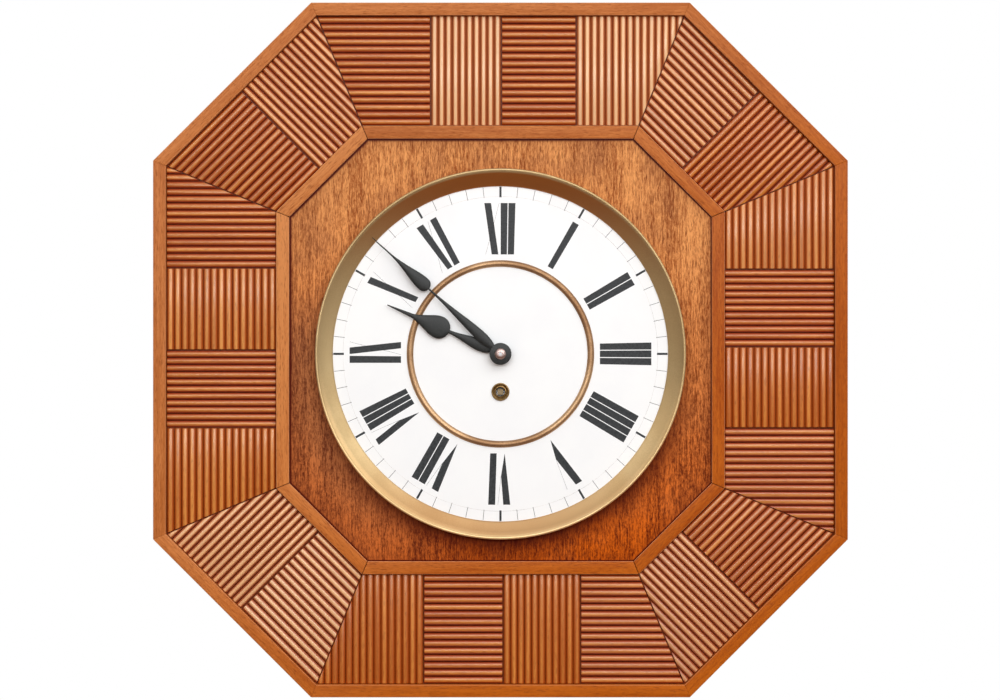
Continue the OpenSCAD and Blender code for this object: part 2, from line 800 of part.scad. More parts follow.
// Screws of the pillars, front and back, and of the cock
module plate_screws() {
    color("#3b4658") on_dial() {
        for (p = pillar_xy) at(p) {
            screw(plate_screw_r, 3.2, 1.8, front_plate_front, base_rear - 6);
            screw(plate_screw_r, 3.2, 1.8, back_plate_rear, back_plate_front + 6);
        }
        for (x = [-1, 1]) at(pallet_at + [x * (cock_w - cock_leg_w) / 2, 1])
            screw(plate_screw_r, 3, 1.8, cock_bridge_rear, back_plate_front - 0.5);
    }
}

// Two steel bars behind the base board that carry the movement's front plate
module mounting_bars() {
    color("#77736c") on_dial() for (y = bar_z) slab(base_rear - bar_t, base_rear)
        difference() {
            translate([-bar_len / 2, y - bar_w / 2]) square([bar_len, bar_w]);
            for (x = [-30, 30]) translate([x, y]) circle(bar_screw_r + seat_fit, $fn = 32);
            for (x = [-1, 1]) translate([x * bar_screw_x, y])
                circle(bar_screw_r + loose_fit, $fn = 32);
        }
}

module movement_screws() {
    color("#3b4658") on_dial() for (y = bar_z) {
        for (x = [-30, 30]) translate([x, y, 0])
            screw(bar_screw_r, 3.2, 1.8, front_plate_front, base_rear - bar_t + 0.2);
        for (x = [-1, 1]) translate([x * bar_screw_x, y, 0])
            screw(bar_screw_r, 3.2, 1.8, base_rear - bar_t, base_rear);
    }
}

// A toothed wheel with crossed arms, as a front view outline
module wheel_outline(n, m, turn, rim, hub, bore) {
    inner = m * n / 2 - rim;
    difference() {
        rotate(turn) polygon(teeth_points(n, m, 0.9, 1.1, 1.35, 0.35));
        rotate(turn) difference() {
            circle(inner);
            circle(hub);
            for (i = [0:4]) rotate(72 * i) translate([0, -1.2]) square([inner + 1, 2.4]);
        }
        circle(bore, $fn = 32);
    }
}

module pinion_outline(n, m, turn) {
    rotate(turn) polygon(teeth_points(n, m, 0.78, 0.55, 1.6, 0.55));
}

// A steel arbor between the plates, with a pivot at each end and a pinion on it
module pinion_arbor(n, m, turn, pinion_from, pinion_to, front_r) {
    rod(pivot_r, back_plate_rear, back_plate_front + 1, $fn = 32);
    rod(arbor_r, back_plate_front + end_shake, base_rear - end_shake, $fn = 32);
    rod(front_r, base_rear - 1, front_plate_front, $fn = 32);
    slab(pinion_from, pinion_to) pinion_outline(n, m, turn);
}

// Great wheel, barrel floor and wall in one piece
module barrel() {
    floor_front = base_rear - great_wheel_back;
    color("#c9a552") on_dial() at(barrel_at) difference() {
        union() {
            slab(floor_front - great_wheel_t, floor_front) rotate(great_turn)
                polygon(teeth_points(great_teeth, great_module, 0.9, 1.1, 1.35, 0.35));
            rod(barrel_r, floor_front - great_wheel_t / 2, base_rear - barrel_front - cap_t);
        }
        rod(barrel_r - barrel_wall, floor_front, base_rear, $fn = 64);
        rod(barrel_arbor_r + run_fit, floor_front - great_wheel_t - 1, base_rear);
    }
}

module barrel_cap() {
    color("#d0b067") on_dial() at(barrel_at)
        slab(base_rear - barrel_front - cap_t, base_rear - barrel_front) difference() {
            circle(barrel_r);
            circle(barrel_arbor_r + run_fit);
        }
}

// Spiral of the wound spring: the radius grows evenly with the turn
spring_turns = 6;
spring_t = 0.5;
core_r = 6;

module mainspring() {
    inner = core_r + spring_gap;
    outer = barrel_r - barrel_wall - spring_t - spring_gap / 2;
    steps = spring_turns * 24;
    low = base_rear - great_wheel_back + spring_gap;
    edge = function (i, off) polar(inner + off + (outer - inner) * i / steps, i * 15);
    color("#5c6068") on_dial() at(barrel_at)
        slab(low, base_rear - barrel_front - cap_t - spring_gap) polygon(concat(
            [for (i = [0:steps]) edge(i, 0)],
            [for (i = [steps:-1:0]) edge(i, spring_t)]));
}

// Turned arbor inside the barrel. Its front end is the winding square
module barrel_arbor() {
    core_low = base_rear - great_wheel_back + end_shake;
    core_top = base_rear - barrel_front - cap_t - end_shake;
    square_end = base_front + 0.4;
    color("#a9abb0") on_dial() at(barrel_at) {
        rod(rear_pivot_r, back_plate_rear, back_plate_front + 1);
        rod(barrel_arbor_r, back_plate_front + end_shake, front_plate_front);
        rod(core_r, core_low, core_top);
        slab(front_plate_front, square_end)
            square([square_w, square_w], center = true);
    }
}

function ratchet_points(n, r, depth) =
    [for (i = [0:n - 1]) for (s = [0, 1])
        polar(s == 0 ? r : r - depth, 360 * (i + (s == 0 ? 0 : 0.08)) / n)];

module ratchet_wheel() {
    low = front_plate_front + ratchet_up;
    color("#9fa3a8") on_dial() at(barrel_at) slab(low, low + ratchet_t) difference() {
        polygon(ratchet_points(ratchet_teeth, ratchet_r, 1.6));
        square([square_w + 2 * seat_fit, square_w + 2 * seat_fit], center = true);
    }
}

// The click turns on a screw in the front plate. It lies round the ratchet wheel, from
// its pivot to a nose that is held just clear of the teeth
click_clear = 0.3;
click_pivot_angle = -18;
click_arm_from = -26;
click_nose_angle = -62;
click_pivot_out = 5;
click_nose_t = 1.8;
click_at = barrel_at + polar(ratchet_r + click_pivot_out, click_pivot_angle);

module click() {
    low = front_plate_front + ratchet_up;
    inner = ratchet_r + click_clear;
    step = (click_nose_angle - click_arm_from) / 8;
    color("#9fa3a8") on_dial() difference() {
        union() {
            at(click_at) rod(3.6, low, low + ratchet_t);
            slab(low, low + ratchet_t) polygon(concat(
                [for (i = [0:8]) barrel_at + polar(inner + click_nose_t
                    + (8 - i) * 0.3, click_arm_from + i * step)],
                [for (i = [8:-1:0]) barrel_at + polar(inner + (8 - i) * 0.2,
                    click_arm_from + i * step)]));
        }
        at(click_at) rod(click_pivot_r + run_fit, low - 1, low + ratchet_t + 1, $fn = 32);
    }
}

module click_screw() {
    low = front_plate_front + ratchet_up;
    color("#3b4658") on_dial() at(click_at)
        screw(click_pivot_r, 2.9, 1.5, low + ratchet_t + 0.1, base_rear + 0.2);
}

// Bent blade on the plate that presses the click towards the ratchet wheel
module click_spring() {
    low = front_plate_front;
    foot = barrel_at + polar(26, -42);
    tip = barrel_at + polar(ratchet_r + click_clear + click_nose_t + 0.75, -57);
    blade = 0.5;
    color("#5c6068") on_dial() slab(low, low + ratchet_t + ratchet_up) {
        translate(foot) circle(2.5);
        polygon(concat(
            bezier(foot + [0, -2], foot + [-6, -1.5], tip + [4, -4], tip, 6),
            bezier(tip + [blade, blade], tip + [4 + blade, blade - 4],
                foot + [-6, blade - 1.5], foot + [0, blade - 2], 6)));
    }
}

module second_wheel() {
    low = base_rear - second_wheel_back - second_wheel_t;
    color("#c9a552") on_dial() at(second_at) slab(low, low + second_wheel_t)
        wheel_outline(second_teeth, second_module, second_turn, 3.4, 4, arbor_r + seat_fit);
}

module second_arbor() {
    great_at = base_rear - great_wheel_back;
    color("#a9abb0") on_dial() at(second_at)
        pinion_arbor(second_pinion_teeth, great_module, 0,
            great_at - great_wheel_t - pinion_over, great_at + pinion_over, pivot_r);
}

module centre_wheel() {
    low = base_rear - centre_wheel_back - centre_wheel_t;
    color("#c9a552") on_dial() slab(low, low + centre_wheel_t)
        wheel_outline(centre_teeth, centre_module, 0, 3, 4, arbor_r + seat_fit);
}

// The centre arbor runs on through the front plate and carries the cannon pinion
module centre_arbor() {
    second_low = base_rear - second_wheel_back - second_wheel_t;
    color("#a9abb0") on_dial() {
        pinion_arbor(centre_pinion_teeth, second_module, 0, second_low - pinion_over,
            second_low + second_wheel_t + pinion_over, centre_shaft_r);
        rod(centre_shaft_r, front_plate_front - 1, nut_low + hand_nut_h - 0.4, $fn = 32);
    }
}

module third_wheel() {
    low = base_rear - third_wheel_back - third_wheel_t;
    color("#c9a552") on_dial() at(third_at) slab(low, low + third_wheel_t)
        wheel_outline(third_teeth, third_module, 0, 3, 3.5, arbor_r + seat_fit);
}

module third_arbor() {
    centre_low = base_rear - centre_wheel_back - centre_wheel_t;
    color("#a9abb0") on_dial() at(third_at)
        pinion_arbor(third_pinion_teeth, centre_module, third_turn,
            centre_low - pinion_over, base_rear - end_shake, pivot_r);
}

// Pointed escape teeth that lean forwards in the sense of rotation
module escape_wheel() {
    low = base_rear - escape_wheel_back - escape_wheel_t;
    root = escape_r - 2.6;
    color("#c9a552") on_dial() at(escape_at) slab(low, low + escape_wheel_t) difference() {
        polygon([for (i = [0:escape_teeth - 1]) for (s = [[0, 0], [0.12, 1], [0.3, 1]])
            polar(s[1] == 0 ? escape_r : root, 360 * (i + s[0]) / escape_teeth)]);
        difference() {
            circle(root - 2);
            circle(3.5);
            for (i = [0:4]) rotate(72 * i) translate([0, -1]) square([root, 2]);
        }
        circle(arbor_r + seat_fit, $fn = 32);
    }
}

module escape_arbor() {
    third_low = base_rear - third_wheel_back - third_wheel_t;
    color("#a9abb0") on_dial() at(escape_at)
        pinion_arbor(escape_pinion_teeth, third_module, escape_turn,
            third_low - pinion_over, third_low + third_wheel_t + pinion_over, pivot_r);
}

// Anchor: an arch round the escape wheel with two pallets held clear of its tips
anchor_in_r = escape_r + 2;
anchor_out_r = escape_r + 5;
nib_r = escape_r + 1.2;
anchor_t = 3;
anchor_hub_r = 4;
anchor_half_arc = 43;

module pallet_anchor() {
    middle = base_rear - escape_wheel_back - escape_wheel_t / 2;
    arch = concat(
        arc_points(escape_at, anchor_out_r, 90 - anchor_half_arc, 90 + anchor_half_arc, 16),
        arc_points(escape_at, anchor_in_r, 90 + anchor_half_arc, 90 - anchor_half_arc, 16));
    color("#a9abb0") on_dial() slab(middle - anchor_t / 2, middle + anchor_t / 2)
        difference() {
            union() {
                polygon(arch);
                translate(pallet_at) circle(anchor_hub_r);
                for (a = [45, 135]) translate(escape_at) rotate(a)
                    translate([nib_r, -1.2]) square([anchor_out_r - nib_r, 2.4]);
            }
            translate(pallet_at) circle(arbor_r + seat_fit, $fn = 32);
        }
}

module pallet_arbor() {
    color("#a9abb0") on_dial() at(pallet_at) {
        rod(pivot_r, cock_bridge_front - blind, cock_bridge_front + 1, $fn = 32);
        rod(arbor_r, cock_bridge_front + end_shake, base_rear - end_shake, $fn = 32);
        rod(pivot_r, base_rear - 1, front_plate_front, $fn = 32);
    }
}

// The crutch carries the pallets' push to the pendulum rod with its fork
prong_gap = 0.35;
prong_w = 1.5;

module crutch() {
    color("#a9abb0") on_dial() at(pallet_at) {
        slab(crutch_rear, crutch_rear + crutch_t) difference() {
            union() {
                circle(3.4);
                translate([-1.4, -fork_down]) square([2.8, fork_down]);
                translate([-pendulum_rod_r - prong_gap - prong_w, -fork_down - 4])
                    square([2 * (pendulum_rod_r + prong_gap + prong_w), 5]);
            }
            circle(arbor_r + seat_fit, $fn = 32);
        }
        for (x = [-1, 1]) translate([x * (pendulum_rod_r + prong_gap + prong_w / 2), 0, 0])
            slab(rod_depth - pendulum_rod_r, crutch_rear + crutch_t)
                translate([-prong_w / 2, -fork_down - 4]) square([prong_w, 4]);
    }
}

// Bridge with two legs on the back plate, and an arm behind it for the pendulum's pin
module back_cock() {
    color("#c2a050") on_dial() at(pallet_at) difference() {
        union() {
            slab(cock_bridge_rear, cock_bridge_front) translate([-cock_w / 2, -cock_down])
                square([cock_w, cock_down + cock_up]);
            for (x = [-1, 1]) slab(cock_bridge_front - 1, back_plate_rear)
                translate([x * (cock_w - cock_leg_w) / 2 - cock_leg_w / 2, -cock_down])
                    square([cock_leg_w, cock_down + cock_up]);
            slab(cock_arm_rear, cock_arm_rear + cock_arm_t) translate([-arm_w / 2, -3])
                square([arm_w, cock_up + 3]);
            slab(cock_arm_rear, cock_bridge_rear + 1) translate([-arm_w / 2, 3])
                square([arm_w, cock_up - 3]);
        }
        rod(pivot_r + run_fit, cock_bridge_front - blind - 0.2, cock_bridge_front + 1);
        rod(pin_r + run_fit, cock_arm_rear - 1, cock_bridge_rear + blind);
        for (x = [-1, 1]) translate([x * (cock_w - cock_leg_w) / 2, 1, 0])
            rod(plate_screw_r + loose_fit, cock_bridge_rear - 1, back_plate_rear + 1);
    }
}

// Brass chops, the thin spring between them and the pin that hangs in the cock
module suspension() {
    low = cock_arm_rear + cock_arm_t + end_shake;
    high = cock_bridge_rear - end_shake;
    color("#c2a050") on_dial() at(pallet_at) {
        rod(pin_r, cock_arm_rear, cock_bridge_rear + blind - 0.2, $fn = 32);
        for (y = [-chop_h + 2, -chop_h - spring_len + 2 - chop_h]) slab(low, high)
            translate([-chop_w / 2, y]) square([chop_w, chop_h]);
        slab(low + 0.6, high - 0.6) translate([-0.1, -chop_h - spring_len + 1.5])
            square([0.2, spring_len + 1]);
    }
}

rod_top = 2 - 2 * chop_h - spring_len;
nut_h = 4;

module pendulum_rod() {
    color("#b89a55") on_dial() at(pallet_at) translate([0, 0, rod_depth])
        rotate([90, 0, 0]) translate([0, 0, -rod_top])
            cylinder(r = pendulum_rod_r, h = pendulum_len + bob_r + 12 + rod_top, $fn = 32);
}

// Brass lens: two shallow curved faces, bored for the rod
module pendulum_bob() {
    half = [for (i = [0:6]) [bob_r * cos(15 * i), bob_t / 2 * sin(15 * i) * 0.7]];
    color("#cfae5e") on_dial() at(pallet_at) translate([0, -pendulum_len, rod_depth])
        difference() {
            rotate_extrude($fn = 96) polygon(concat(
                [[0, -bob_t / 2 * 0.7 - 1]],
                [for (i = [6:-1:0]) [half[i].x, -half[i].y - 1]],
                [for (p = half) [p.x, p.y + 1]], [[0, bob_t / 2 * 0.7 + 1]]));
            rotate([90, 0, 0]) cylinder(r = pendulum_rod_r + run_fit,
                h = 3 * bob_r, center = true, $fn = 32);
        }
}

module rating_nut() {
    color("#cfae5e") on_dial() at(pallet_at)
        translate([0, -pendulum_len - bob_r - end_shake, rod_depth])
            rotate([90, 0, 0]) difference() {
                cylinder(r = 5, h = nut_h, $fn = 40);
                translate([0, 0, -1]) cylinder(r = pendulum_rod_r + run_fit,
                    h = nut_h + 2, $fn = 32);
            }
}

// Motion work between the front plate and the dial
module cannon_pinion() {
    low = front_plate_front + cannon_up;
    color("#b9babd") on_dial() difference() {
        union() {
            slab(low, low + cannon_t) pinion_outline(cannon_teeth, cannon_module, 0);
            rod(cannon_pipe_r, low, nut_low);
        }
        rod(centre_shaft_r + seat_fit, low - 1, nut_low + 1, $fn = 32);
    }
}

module minute_wheel() {
    low = front_plate_front + minute_wheel_up;
    pinion_top = front_plate_front + hour_wheel_up + hour_wheel_t + 0.4;
    color("#c9a552") on_dial() at(minute_wheel_at) difference() {
        union() {
            slab(low, low + minute_wheel_t) wheel_outline(minute_teeth, cannon_module,
                minute_turn, 3, 4, 0.5);
            slab(low, pinion_top) pinion_outline(minute_pinion_teeth, hour_module, 0);
        }
        rod(wheel_stud_r + run_fit, low - 1, pinion_top + 1, $fn = 32);
    }
}

module hour_wheel() {
    low = front_plate_front + hour_wheel_up;
    color("#c9a552") on_dial() difference() {
        union() {
            slab(low, low + hour_wheel_t) wheel_outline(hour_teeth, hour_module,
                hour_turn, 3, 5.5, 0.5);
            rod(hour_pipe_r, low, hour_low + blade_t + 0.3);
        }
        rod(cannon_pipe_r + run_fit, low - 1, hour_low + blade_t + 2, $fn = 32);
    }
}

case_sides_straight();
case_sides_corner();
reeds_top();
reeds_top_right();
reeds_right();
reeds_bottom_right();
reeds_bottom();
reeds_bottom_left();
reeds_left();
reeds_top_left();
inner_frame();
base_board();
centre_panel();
back_panel();
hanger_plate();
corner_blocks();
back_screws();
dial_plate();
chapter_ring();
centre_disc();
dial_ring();
bezel();
bezel_nuts();
winding_grommet();
minute_hand();
hour_hand();
hand_nut();
front_plate();
back_plate();
pillars();
plate_screws();
mounting_bars();
movement_screws();
barrel();
barrel_cap();
mainspring();
barrel_arbor();
ratchet_wheel();
click();
click_spring();
second_wheel();
second_arbor();
centre_wheel();
centre_arbor();
third_wheel();
third_arbor();
escape_wheel();
escape_arbor();
pallet_anchor();
pallet_arbor();
crutch();
back_cock();
suspension();
pendulum_rod();
pendulum_bob();
rating_nut();
cannon_pinion();
minute_wheel();
hour_wheel();
click_screw();
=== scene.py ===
# %% [markdown]
# # An octagonal reeded wall clock
# The clock hangs flat on a wall. Its front is a wide frame of half round reeds between two
# mahogany strips, round a plain veneered panel with a white dial in a brass bezel. This
# lesson builds what shows as surfaces worked out with numpy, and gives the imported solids
# that stay visible, such as the back and the movement, their finishes.

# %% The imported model, and its box before anything is added
import json
import math

import bpy
import numpy as np
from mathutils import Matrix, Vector


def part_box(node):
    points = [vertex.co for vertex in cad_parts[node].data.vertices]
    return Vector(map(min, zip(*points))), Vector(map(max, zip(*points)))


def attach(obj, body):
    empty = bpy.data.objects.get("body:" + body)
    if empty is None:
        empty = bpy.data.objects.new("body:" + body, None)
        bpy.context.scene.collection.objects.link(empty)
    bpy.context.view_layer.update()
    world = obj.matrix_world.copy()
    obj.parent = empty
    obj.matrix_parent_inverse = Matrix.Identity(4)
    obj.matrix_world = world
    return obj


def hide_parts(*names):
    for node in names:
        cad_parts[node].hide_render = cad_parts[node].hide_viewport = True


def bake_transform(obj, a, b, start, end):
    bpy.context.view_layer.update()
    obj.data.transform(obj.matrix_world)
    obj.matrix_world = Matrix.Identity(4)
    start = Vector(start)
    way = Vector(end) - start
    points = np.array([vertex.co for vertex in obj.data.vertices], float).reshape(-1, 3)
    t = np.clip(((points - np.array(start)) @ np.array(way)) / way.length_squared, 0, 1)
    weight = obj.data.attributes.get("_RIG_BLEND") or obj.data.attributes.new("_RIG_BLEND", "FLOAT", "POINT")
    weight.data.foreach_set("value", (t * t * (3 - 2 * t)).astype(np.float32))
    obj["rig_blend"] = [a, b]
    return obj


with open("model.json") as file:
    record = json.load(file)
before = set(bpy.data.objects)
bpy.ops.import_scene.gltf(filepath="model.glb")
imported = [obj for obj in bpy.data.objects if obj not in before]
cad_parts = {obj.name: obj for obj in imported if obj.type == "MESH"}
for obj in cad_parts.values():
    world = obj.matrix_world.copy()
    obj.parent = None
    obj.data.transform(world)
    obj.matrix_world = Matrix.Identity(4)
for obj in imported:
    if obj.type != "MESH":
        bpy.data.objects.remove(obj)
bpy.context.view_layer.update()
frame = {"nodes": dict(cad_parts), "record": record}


rng = np.random.default_rng(24)

# %% [markdown]
# ## Sizes
# Every size is the one the construction uses. The clock is drawn in front view: X to the
# right, Z up, and a depth that counts from the wall towards the room, so y = -depth. The
# reeded front is drawn side by side: on each of the eight sides, u runs clockwise along the
# side and v is the distance inwards from the outer edge.

# %% Sizes in metres
MM = 0.001
HALF_ACROSS = 305 * MM
CORNER_HALF_ACROSS = (610 - 138.7) / math.sqrt(2) * MM
BOARD_T = 11.1 * MM
FIELD_W = 96.9 * MM
STRIP_W = 11.4 * MM
CASE_DEPTH = 88.5 * MM
BEZEL_R = 162.4 * MM
BASE_FRONT = 82 * MM
STRIP_TOP = 88 * MM
ENAMEL = 85.5 * MM
DIAL_Z = -3.4 * MM
ARBOR = (0.0, DIAL_Z)
FIELD_AT = BOARD_T
STRIP_AT = FIELD_AT + FIELD_W
PANEL_AT = STRIP_AT + STRIP_W


def half_side(k, v):
    """Half the length of side k at the distance v inwards: where it meets the next side.
    A straight side meets the corner sides at x = (corner - v) * sqrt(2) - (straight - v)."""
    straight = (CORNER_HALF_ACROSS - v) * math.sqrt(2) - (HALF_ACROSS - v)
    return straight if k % 2 == 0 else (HALF_ACROSS - v - straight) / math.sqrt(2)


def on_side(k, u, v, depth):
    """Points (u, v, depth) of side k as points of the clock. The side is turned by 45
    degrees times k, clockwise, and its outer edge lies one apothem from the middle."""
    apothem = HALF_ACROSS if k % 2 == 0 else CORNER_HALF_ACROSS
    u, v, depth = np.broadcast_arrays(u, v, depth)
    turn = math.radians(45 * k)
    out = apothem - v
    x = u * math.cos(turn) + out * math.sin(turn)
    z = out * math.cos(turn) - u * math.sin(turn)
    return np.stack([x, -depth, z], -1)


print("half a straight side", round(half_side(0, 0), 4), "and a corner side",
      round(half_side(1, 0), 4))

# %% [markdown]
# ## Putting arrays into meshes
# A surface is a grid of points, and a piece is one or more grids with their end faces. Point
# attributes travel with the wooden pieces and tell their finish what it can't see by itself.
# grain is the distance along, across and into the wood, tone is one number for each stick, and a third
# attribute marks the front arrises, which are painted pale, partly as worn edges and partly as a painted
# highlight. On the reeds, crown is how high a point lies on the half round, upright tells reeds that stand
# from reeds that lie, and the last is a painted highlight: a pale sheen on the crowns, stronger on some
# panels than on others.

# %% Mesh helpers
def grid_quads(rows, columns, wrap_rows=False, wrap_columns=False):
    """Corner numbers of a grid's quads. Point (i, j) has the number i * columns + j, and a
    wrapped direction joins its last row or column to its first."""
    i = np.arange(rows if wrap_rows else rows - 1)[:, None]
    j = np.arange(columns if wrap_columns else columns - 1)[None, :]
    i2, j2 = (i + 1) % rows, (j + 1) % columns
    quads = [i * columns + j, i * columns + j2, i2 * columns + j2, i2 * columns + j]
    return np.stack(np.broadcast_arrays(*quads), -1).reshape(-1, 4)


class Parts:
    """Collects grids and single faces, with their attributes, into one mesh."""

    def __init__(self):
        self.points, self.faces, self.attributes, self.count = [], [], {}, 0

    def add(self, points, faces, **attributes):
        """Adds points and faces that count from the first of them. An attribute is one value
        for all the points, or an array with a value for each."""
        points = np.asarray(points, float).reshape(-1, 3)
        self.faces += [(np.asarray(f) + self.count).tolist() for f in faces]
        self.points.append(points)
        for name, value in attributes.items():
            value = np.asarray(value, float)
            width = (len(points), 3) if value.shape[-1:] == (3,) else (len(points),)
            self.attributes.setdefault(name, []).append(
                np.broadcast_to(value.reshape(-1, 3) if width[1:] else value.reshape(-1),
                                width))
        self.count += len(points)

    def piece(self, name, material, body, slot, replaces=(), smooth=40, bend=None):
        """Makes the object, in place, ties it to the body that it rides on and hides the imported parts that
        it stands for. bend gives a second body and the points between which the piece bends over to it."""
        mesh = bpy.data.meshes.new(name)
        mesh.from_pydata(np.concatenate(self.points).tolist(), [], self.faces)
        for key, rows in self.attributes.items():
            rows = np.concatenate(rows)
            kind, field = (("FLOAT_VECTOR", "vector") if rows.ndim == 2
                           else ("FLOAT", "value"))
            mesh.attributes.new(key, kind, "POINT").data.foreach_set(field, rows.ravel())
        mesh.materials.append(material)
        obj = bpy.data.objects.new(name, mesh)
        bpy.context.scene.collection.objects.link(obj)
        mesh.shade_smooth()
        mesh.set_sharp_from_angle(angle=math.radians(smooth))
        if bend:
            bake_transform(obj, body, *bend)
        else:
            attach(obj, body)
        if replaces:
            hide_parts(*replaces)
        print(f"{name}: {len(mesh.vertices)} points, {len(mesh.polygons)} faces")


def lathe_points(profile, steps, centre):
    """A profile of (radius, depth) rows turned about a centre (x, z): the point at angle a
    is (radius * sin a, -depth, radius * cos a) from it."""
    profile = np.asarray(profile, float)
    a = np.linspace(0, 2 * np.pi, steps, endpoint=False)[:, None]
    r, depth = profile[None, :, 0], profile[None, :, 1]
    x, z = r * np.sin(a) + centre[0], r * np.cos(a) + centre[1]
    return np.stack([x, np.broadcast_to(-depth, x.shape), z], -1)


def bezier(a, b, c, d, n):
    """Points of a cubic curve from a to d, drawn towards b and c: the weights are the terms
    of (u + t) cubed, with u = 1 - t."""
    t = np.linspace(0, 1, n)[:, None]
    u = 1 - t
    return (u**3 * np.array(a) + 3 * u * u * t * np.array(b)
            + 3 * u * t * t * np.array(c) + t**3 * np.array(d))


def arc(centre, r, start, end, n):
    """Points on a circle, angles in degrees."""
    t = np.radians(np.linspace(start, end, n))
    return np.stack([centre[0] + r * np.cos(t), centre[1] + r * np.sin(t)], -1)


print("a closed ring of 4 x 3 points has", len(grid_quads(4, 3, True, True)), "quads")

# %% [markdown]
# ## Shader tools
# A finish that several pieces share, such as the grain of mahogany, is a node group with
# named sockets. It puts out colours and values only; the Principled shader stays in each
# material. These helpers keep the node lists short.

# %% Node helpers
def linear(r, g, b):
    """A colour given 0 to 255, as the linear colour that Blender wants."""
    c = np.array([r, g, b]) / 255
    c = np.where(c <= 0.04045, c / 12.92, ((c + 0.055) / 1.055) ** 2.4)
    return (*map(float, c), 1.0)


class Nodes:
    """A short hand for one node tree: make nodes, set their values and join them."""

    def __init__(self, tree):
        self.tree = tree

    def new(self, kind, **values):
        node = self.tree.nodes.new(kind)
        for key, value in values.items():
            setattr(node, key, value)
        return node

    def feed(self, socket, value):
        if isinstance(value, bpy.types.NodeSocket):
            self.tree.links.new(value, socket)
        else:
            socket.default_value = value

    def math(self, operation, a, b=0.0, clamp=False):
        node = self.new("ShaderNodeMath", operation=operation, use_clamp=clamp)
        self.feed(node.inputs[0], a)
        self.feed(node.inputs[1], b)
        return node.outputs[0]

    def mix(self, fac, a, b):
        node = self.new("ShaderNodeMix", data_type="RGBA")
        self.feed(node.inputs["Factor"], fac)
        self.feed(node.inputs[6], a)
        self.feed(node.inputs[7], b)
        return node.outputs[2]

    def scaled(self, vector, x, y, z):
        node = self.new("ShaderNodeVectorMath", operation="MULTIPLY")
        self.feed(node.inputs[0], vector)
        node.inputs[1].default_value = (x, y, z)
        return node.outputs[0]

    def noise(self, vector, scale=1.0, detail=4.0, rough=0.55, distortion=0.0):
        node = self.new("ShaderNodeTexNoise")
        self.feed(node.inputs["Vector"], vector)
        for key, value in (("Scale", scale), ("Detail", detail), ("Roughness", rough),
                           ("Distortion", distortion)):
            self.feed(node.inputs[key], value)
        return node.outputs["Fac"]

    def ramp(self, value, low, high, to_low=0.0, to_high=1.0):
        node = self.new("ShaderNodeMapRange", interpolation_type="SMOOTHSTEP")
        self.feed(node.inputs["Value"], value)
        for key, number in (("From Min", low), ("From Max", high), ("To Min", to_low),
                            ("To Max", to_high)):
            self.feed(node.inputs[key], number)
        return node.outputs["Result"]

    def xyz(self, vector):
        """The three coordinates of a vector, by their names."""
        node = self.new("ShaderNodeSeparateXYZ")
        self.feed(node.inputs[0], vector)
        return node.outputs

    def from_arbor(self, place):
        """The distance of a place from the hands' arbor, seen from the front."""
        node = self.new("ShaderNodeVectorMath", operation="DISTANCE")
        self.feed(node.inputs[0], self.scaled(place, 1, 0, 1))
        node.inputs[1].default_value = (0, 0, DIAL_Z)
        return node.outputs["Value"]

    def attribute(self, name, vector=False):
        node = self.new("ShaderNodeAttribute", attribute_name=name)
        return node.outputs["Vector" if vector else "Fac"]

    def object_coordinates(self):
        return self.new("ShaderNodeTexCoord").outputs["Object"]

    def group(self, tree, **inputs):
        node = self.new("ShaderNodeGroup", node_tree=tree)
        for key, value in inputs.items():
            self.feed(node.inputs[key.replace("_", " ")], value)
        return node.outputs

    def bump(self, height, strength, distance):
        node = self.new("ShaderNodeBump")
        node.inputs["Strength"].default_value = strength
        node.inputs["Distance"].default_value = distance
        self.feed(node.inputs["Height"], height)
        return node.outputs["Normal"]


def new_group(name, inputs, outputs):
    """An empty shader group with its sockets, and a Nodes helper for its inside."""
    tree = bpy.data.node_groups.new(name, "ShaderNodeTree")
    kinds = {"float": "NodeSocketFloat", "colour": "NodeSocketColor",
             "vector": "NodeSocketVector"}
    for direction, sockets in (("INPUT", inputs), ("OUTPUT", outputs)):
        for key, kind, *value in sockets:
            socket = tree.interface.new_socket(key, in_out=direction,
                                               socket_type=kinds[kind])
            if value:
                socket.default_value = value[0]
    n = Nodes(tree)
    return tree, n, n.new("NodeGroupInput").outputs, n.new("NodeGroupOutput").inputs


def new_material(name, **values):
    """A material with one Principled shader and its constant values set on its sockets."""
    material = bpy.data.materials.new(name)
    material.use_nodes = True
    shader = material.node_tree.nodes["Principled BSDF"]
    for key, value in values.items():
        shader.inputs[key.replace("_", " ")].default_value = value
    return material, Nodes(material.node_tree), shader.inputs


print("mahogany as a linear colour", [round(x, 3) for x in linear(190, 115, 66)])

# %% [markdown]
# ## Mahogany
# Varnished mahogany shows long fibres, a ribbon figure that swells and fades along the board,
# a short mottled fleck across it, and pores, which are short dark dashes. Each is a noise
# that is squeezed across the grain and stretched along it. Reading the grain attribute keeps
# them in line with each stick, whichever way it lies on the clock.

# %% The grain group
grain_group, n, given, put = new_group(
    "Mahogany grain",
    [("Grain", "vector"), ("Tone", "float", 0.5), ("Ribbon", "float", 0.5),
     ("Flecks", "float", 0.0), ("Pores", "float", 0.5), ("Dark", "colour"),
     ("Light", "colour"), ("Pore colour", "colour")],
    [("Colour", "colour"), ("Roughness", "float"), ("Height", "float")])
fibre = n.noise(n.scaled(given["Grain"], 14, 420, 420), detail=5, rough=0.6)
ribbon = n.noise(n.scaled(given["Grain"], 110, 760, 760), detail=4, rough=0.65,
                 distortion=0.8)
fleck = n.noise(n.scaled(given["Grain"], 340, 640, 640), detail=4, rough=0.7,
                distortion=0.8)
broad = n.noise(n.scaled(given["Grain"], 4, 60, 60), detail=3)
dash = n.noise(n.scaled(given["Grain"], 180, 1150, 1150), detail=2, rough=0.4)
pore = n.math("MULTIPLY", n.ramp(dash, 0.55, 0.72), given["Pores"])
figure = n.math("MULTIPLY", n.ramp(ribbon, 0.30, 0.70, -0.5, 0.5), given["Ribbon"])
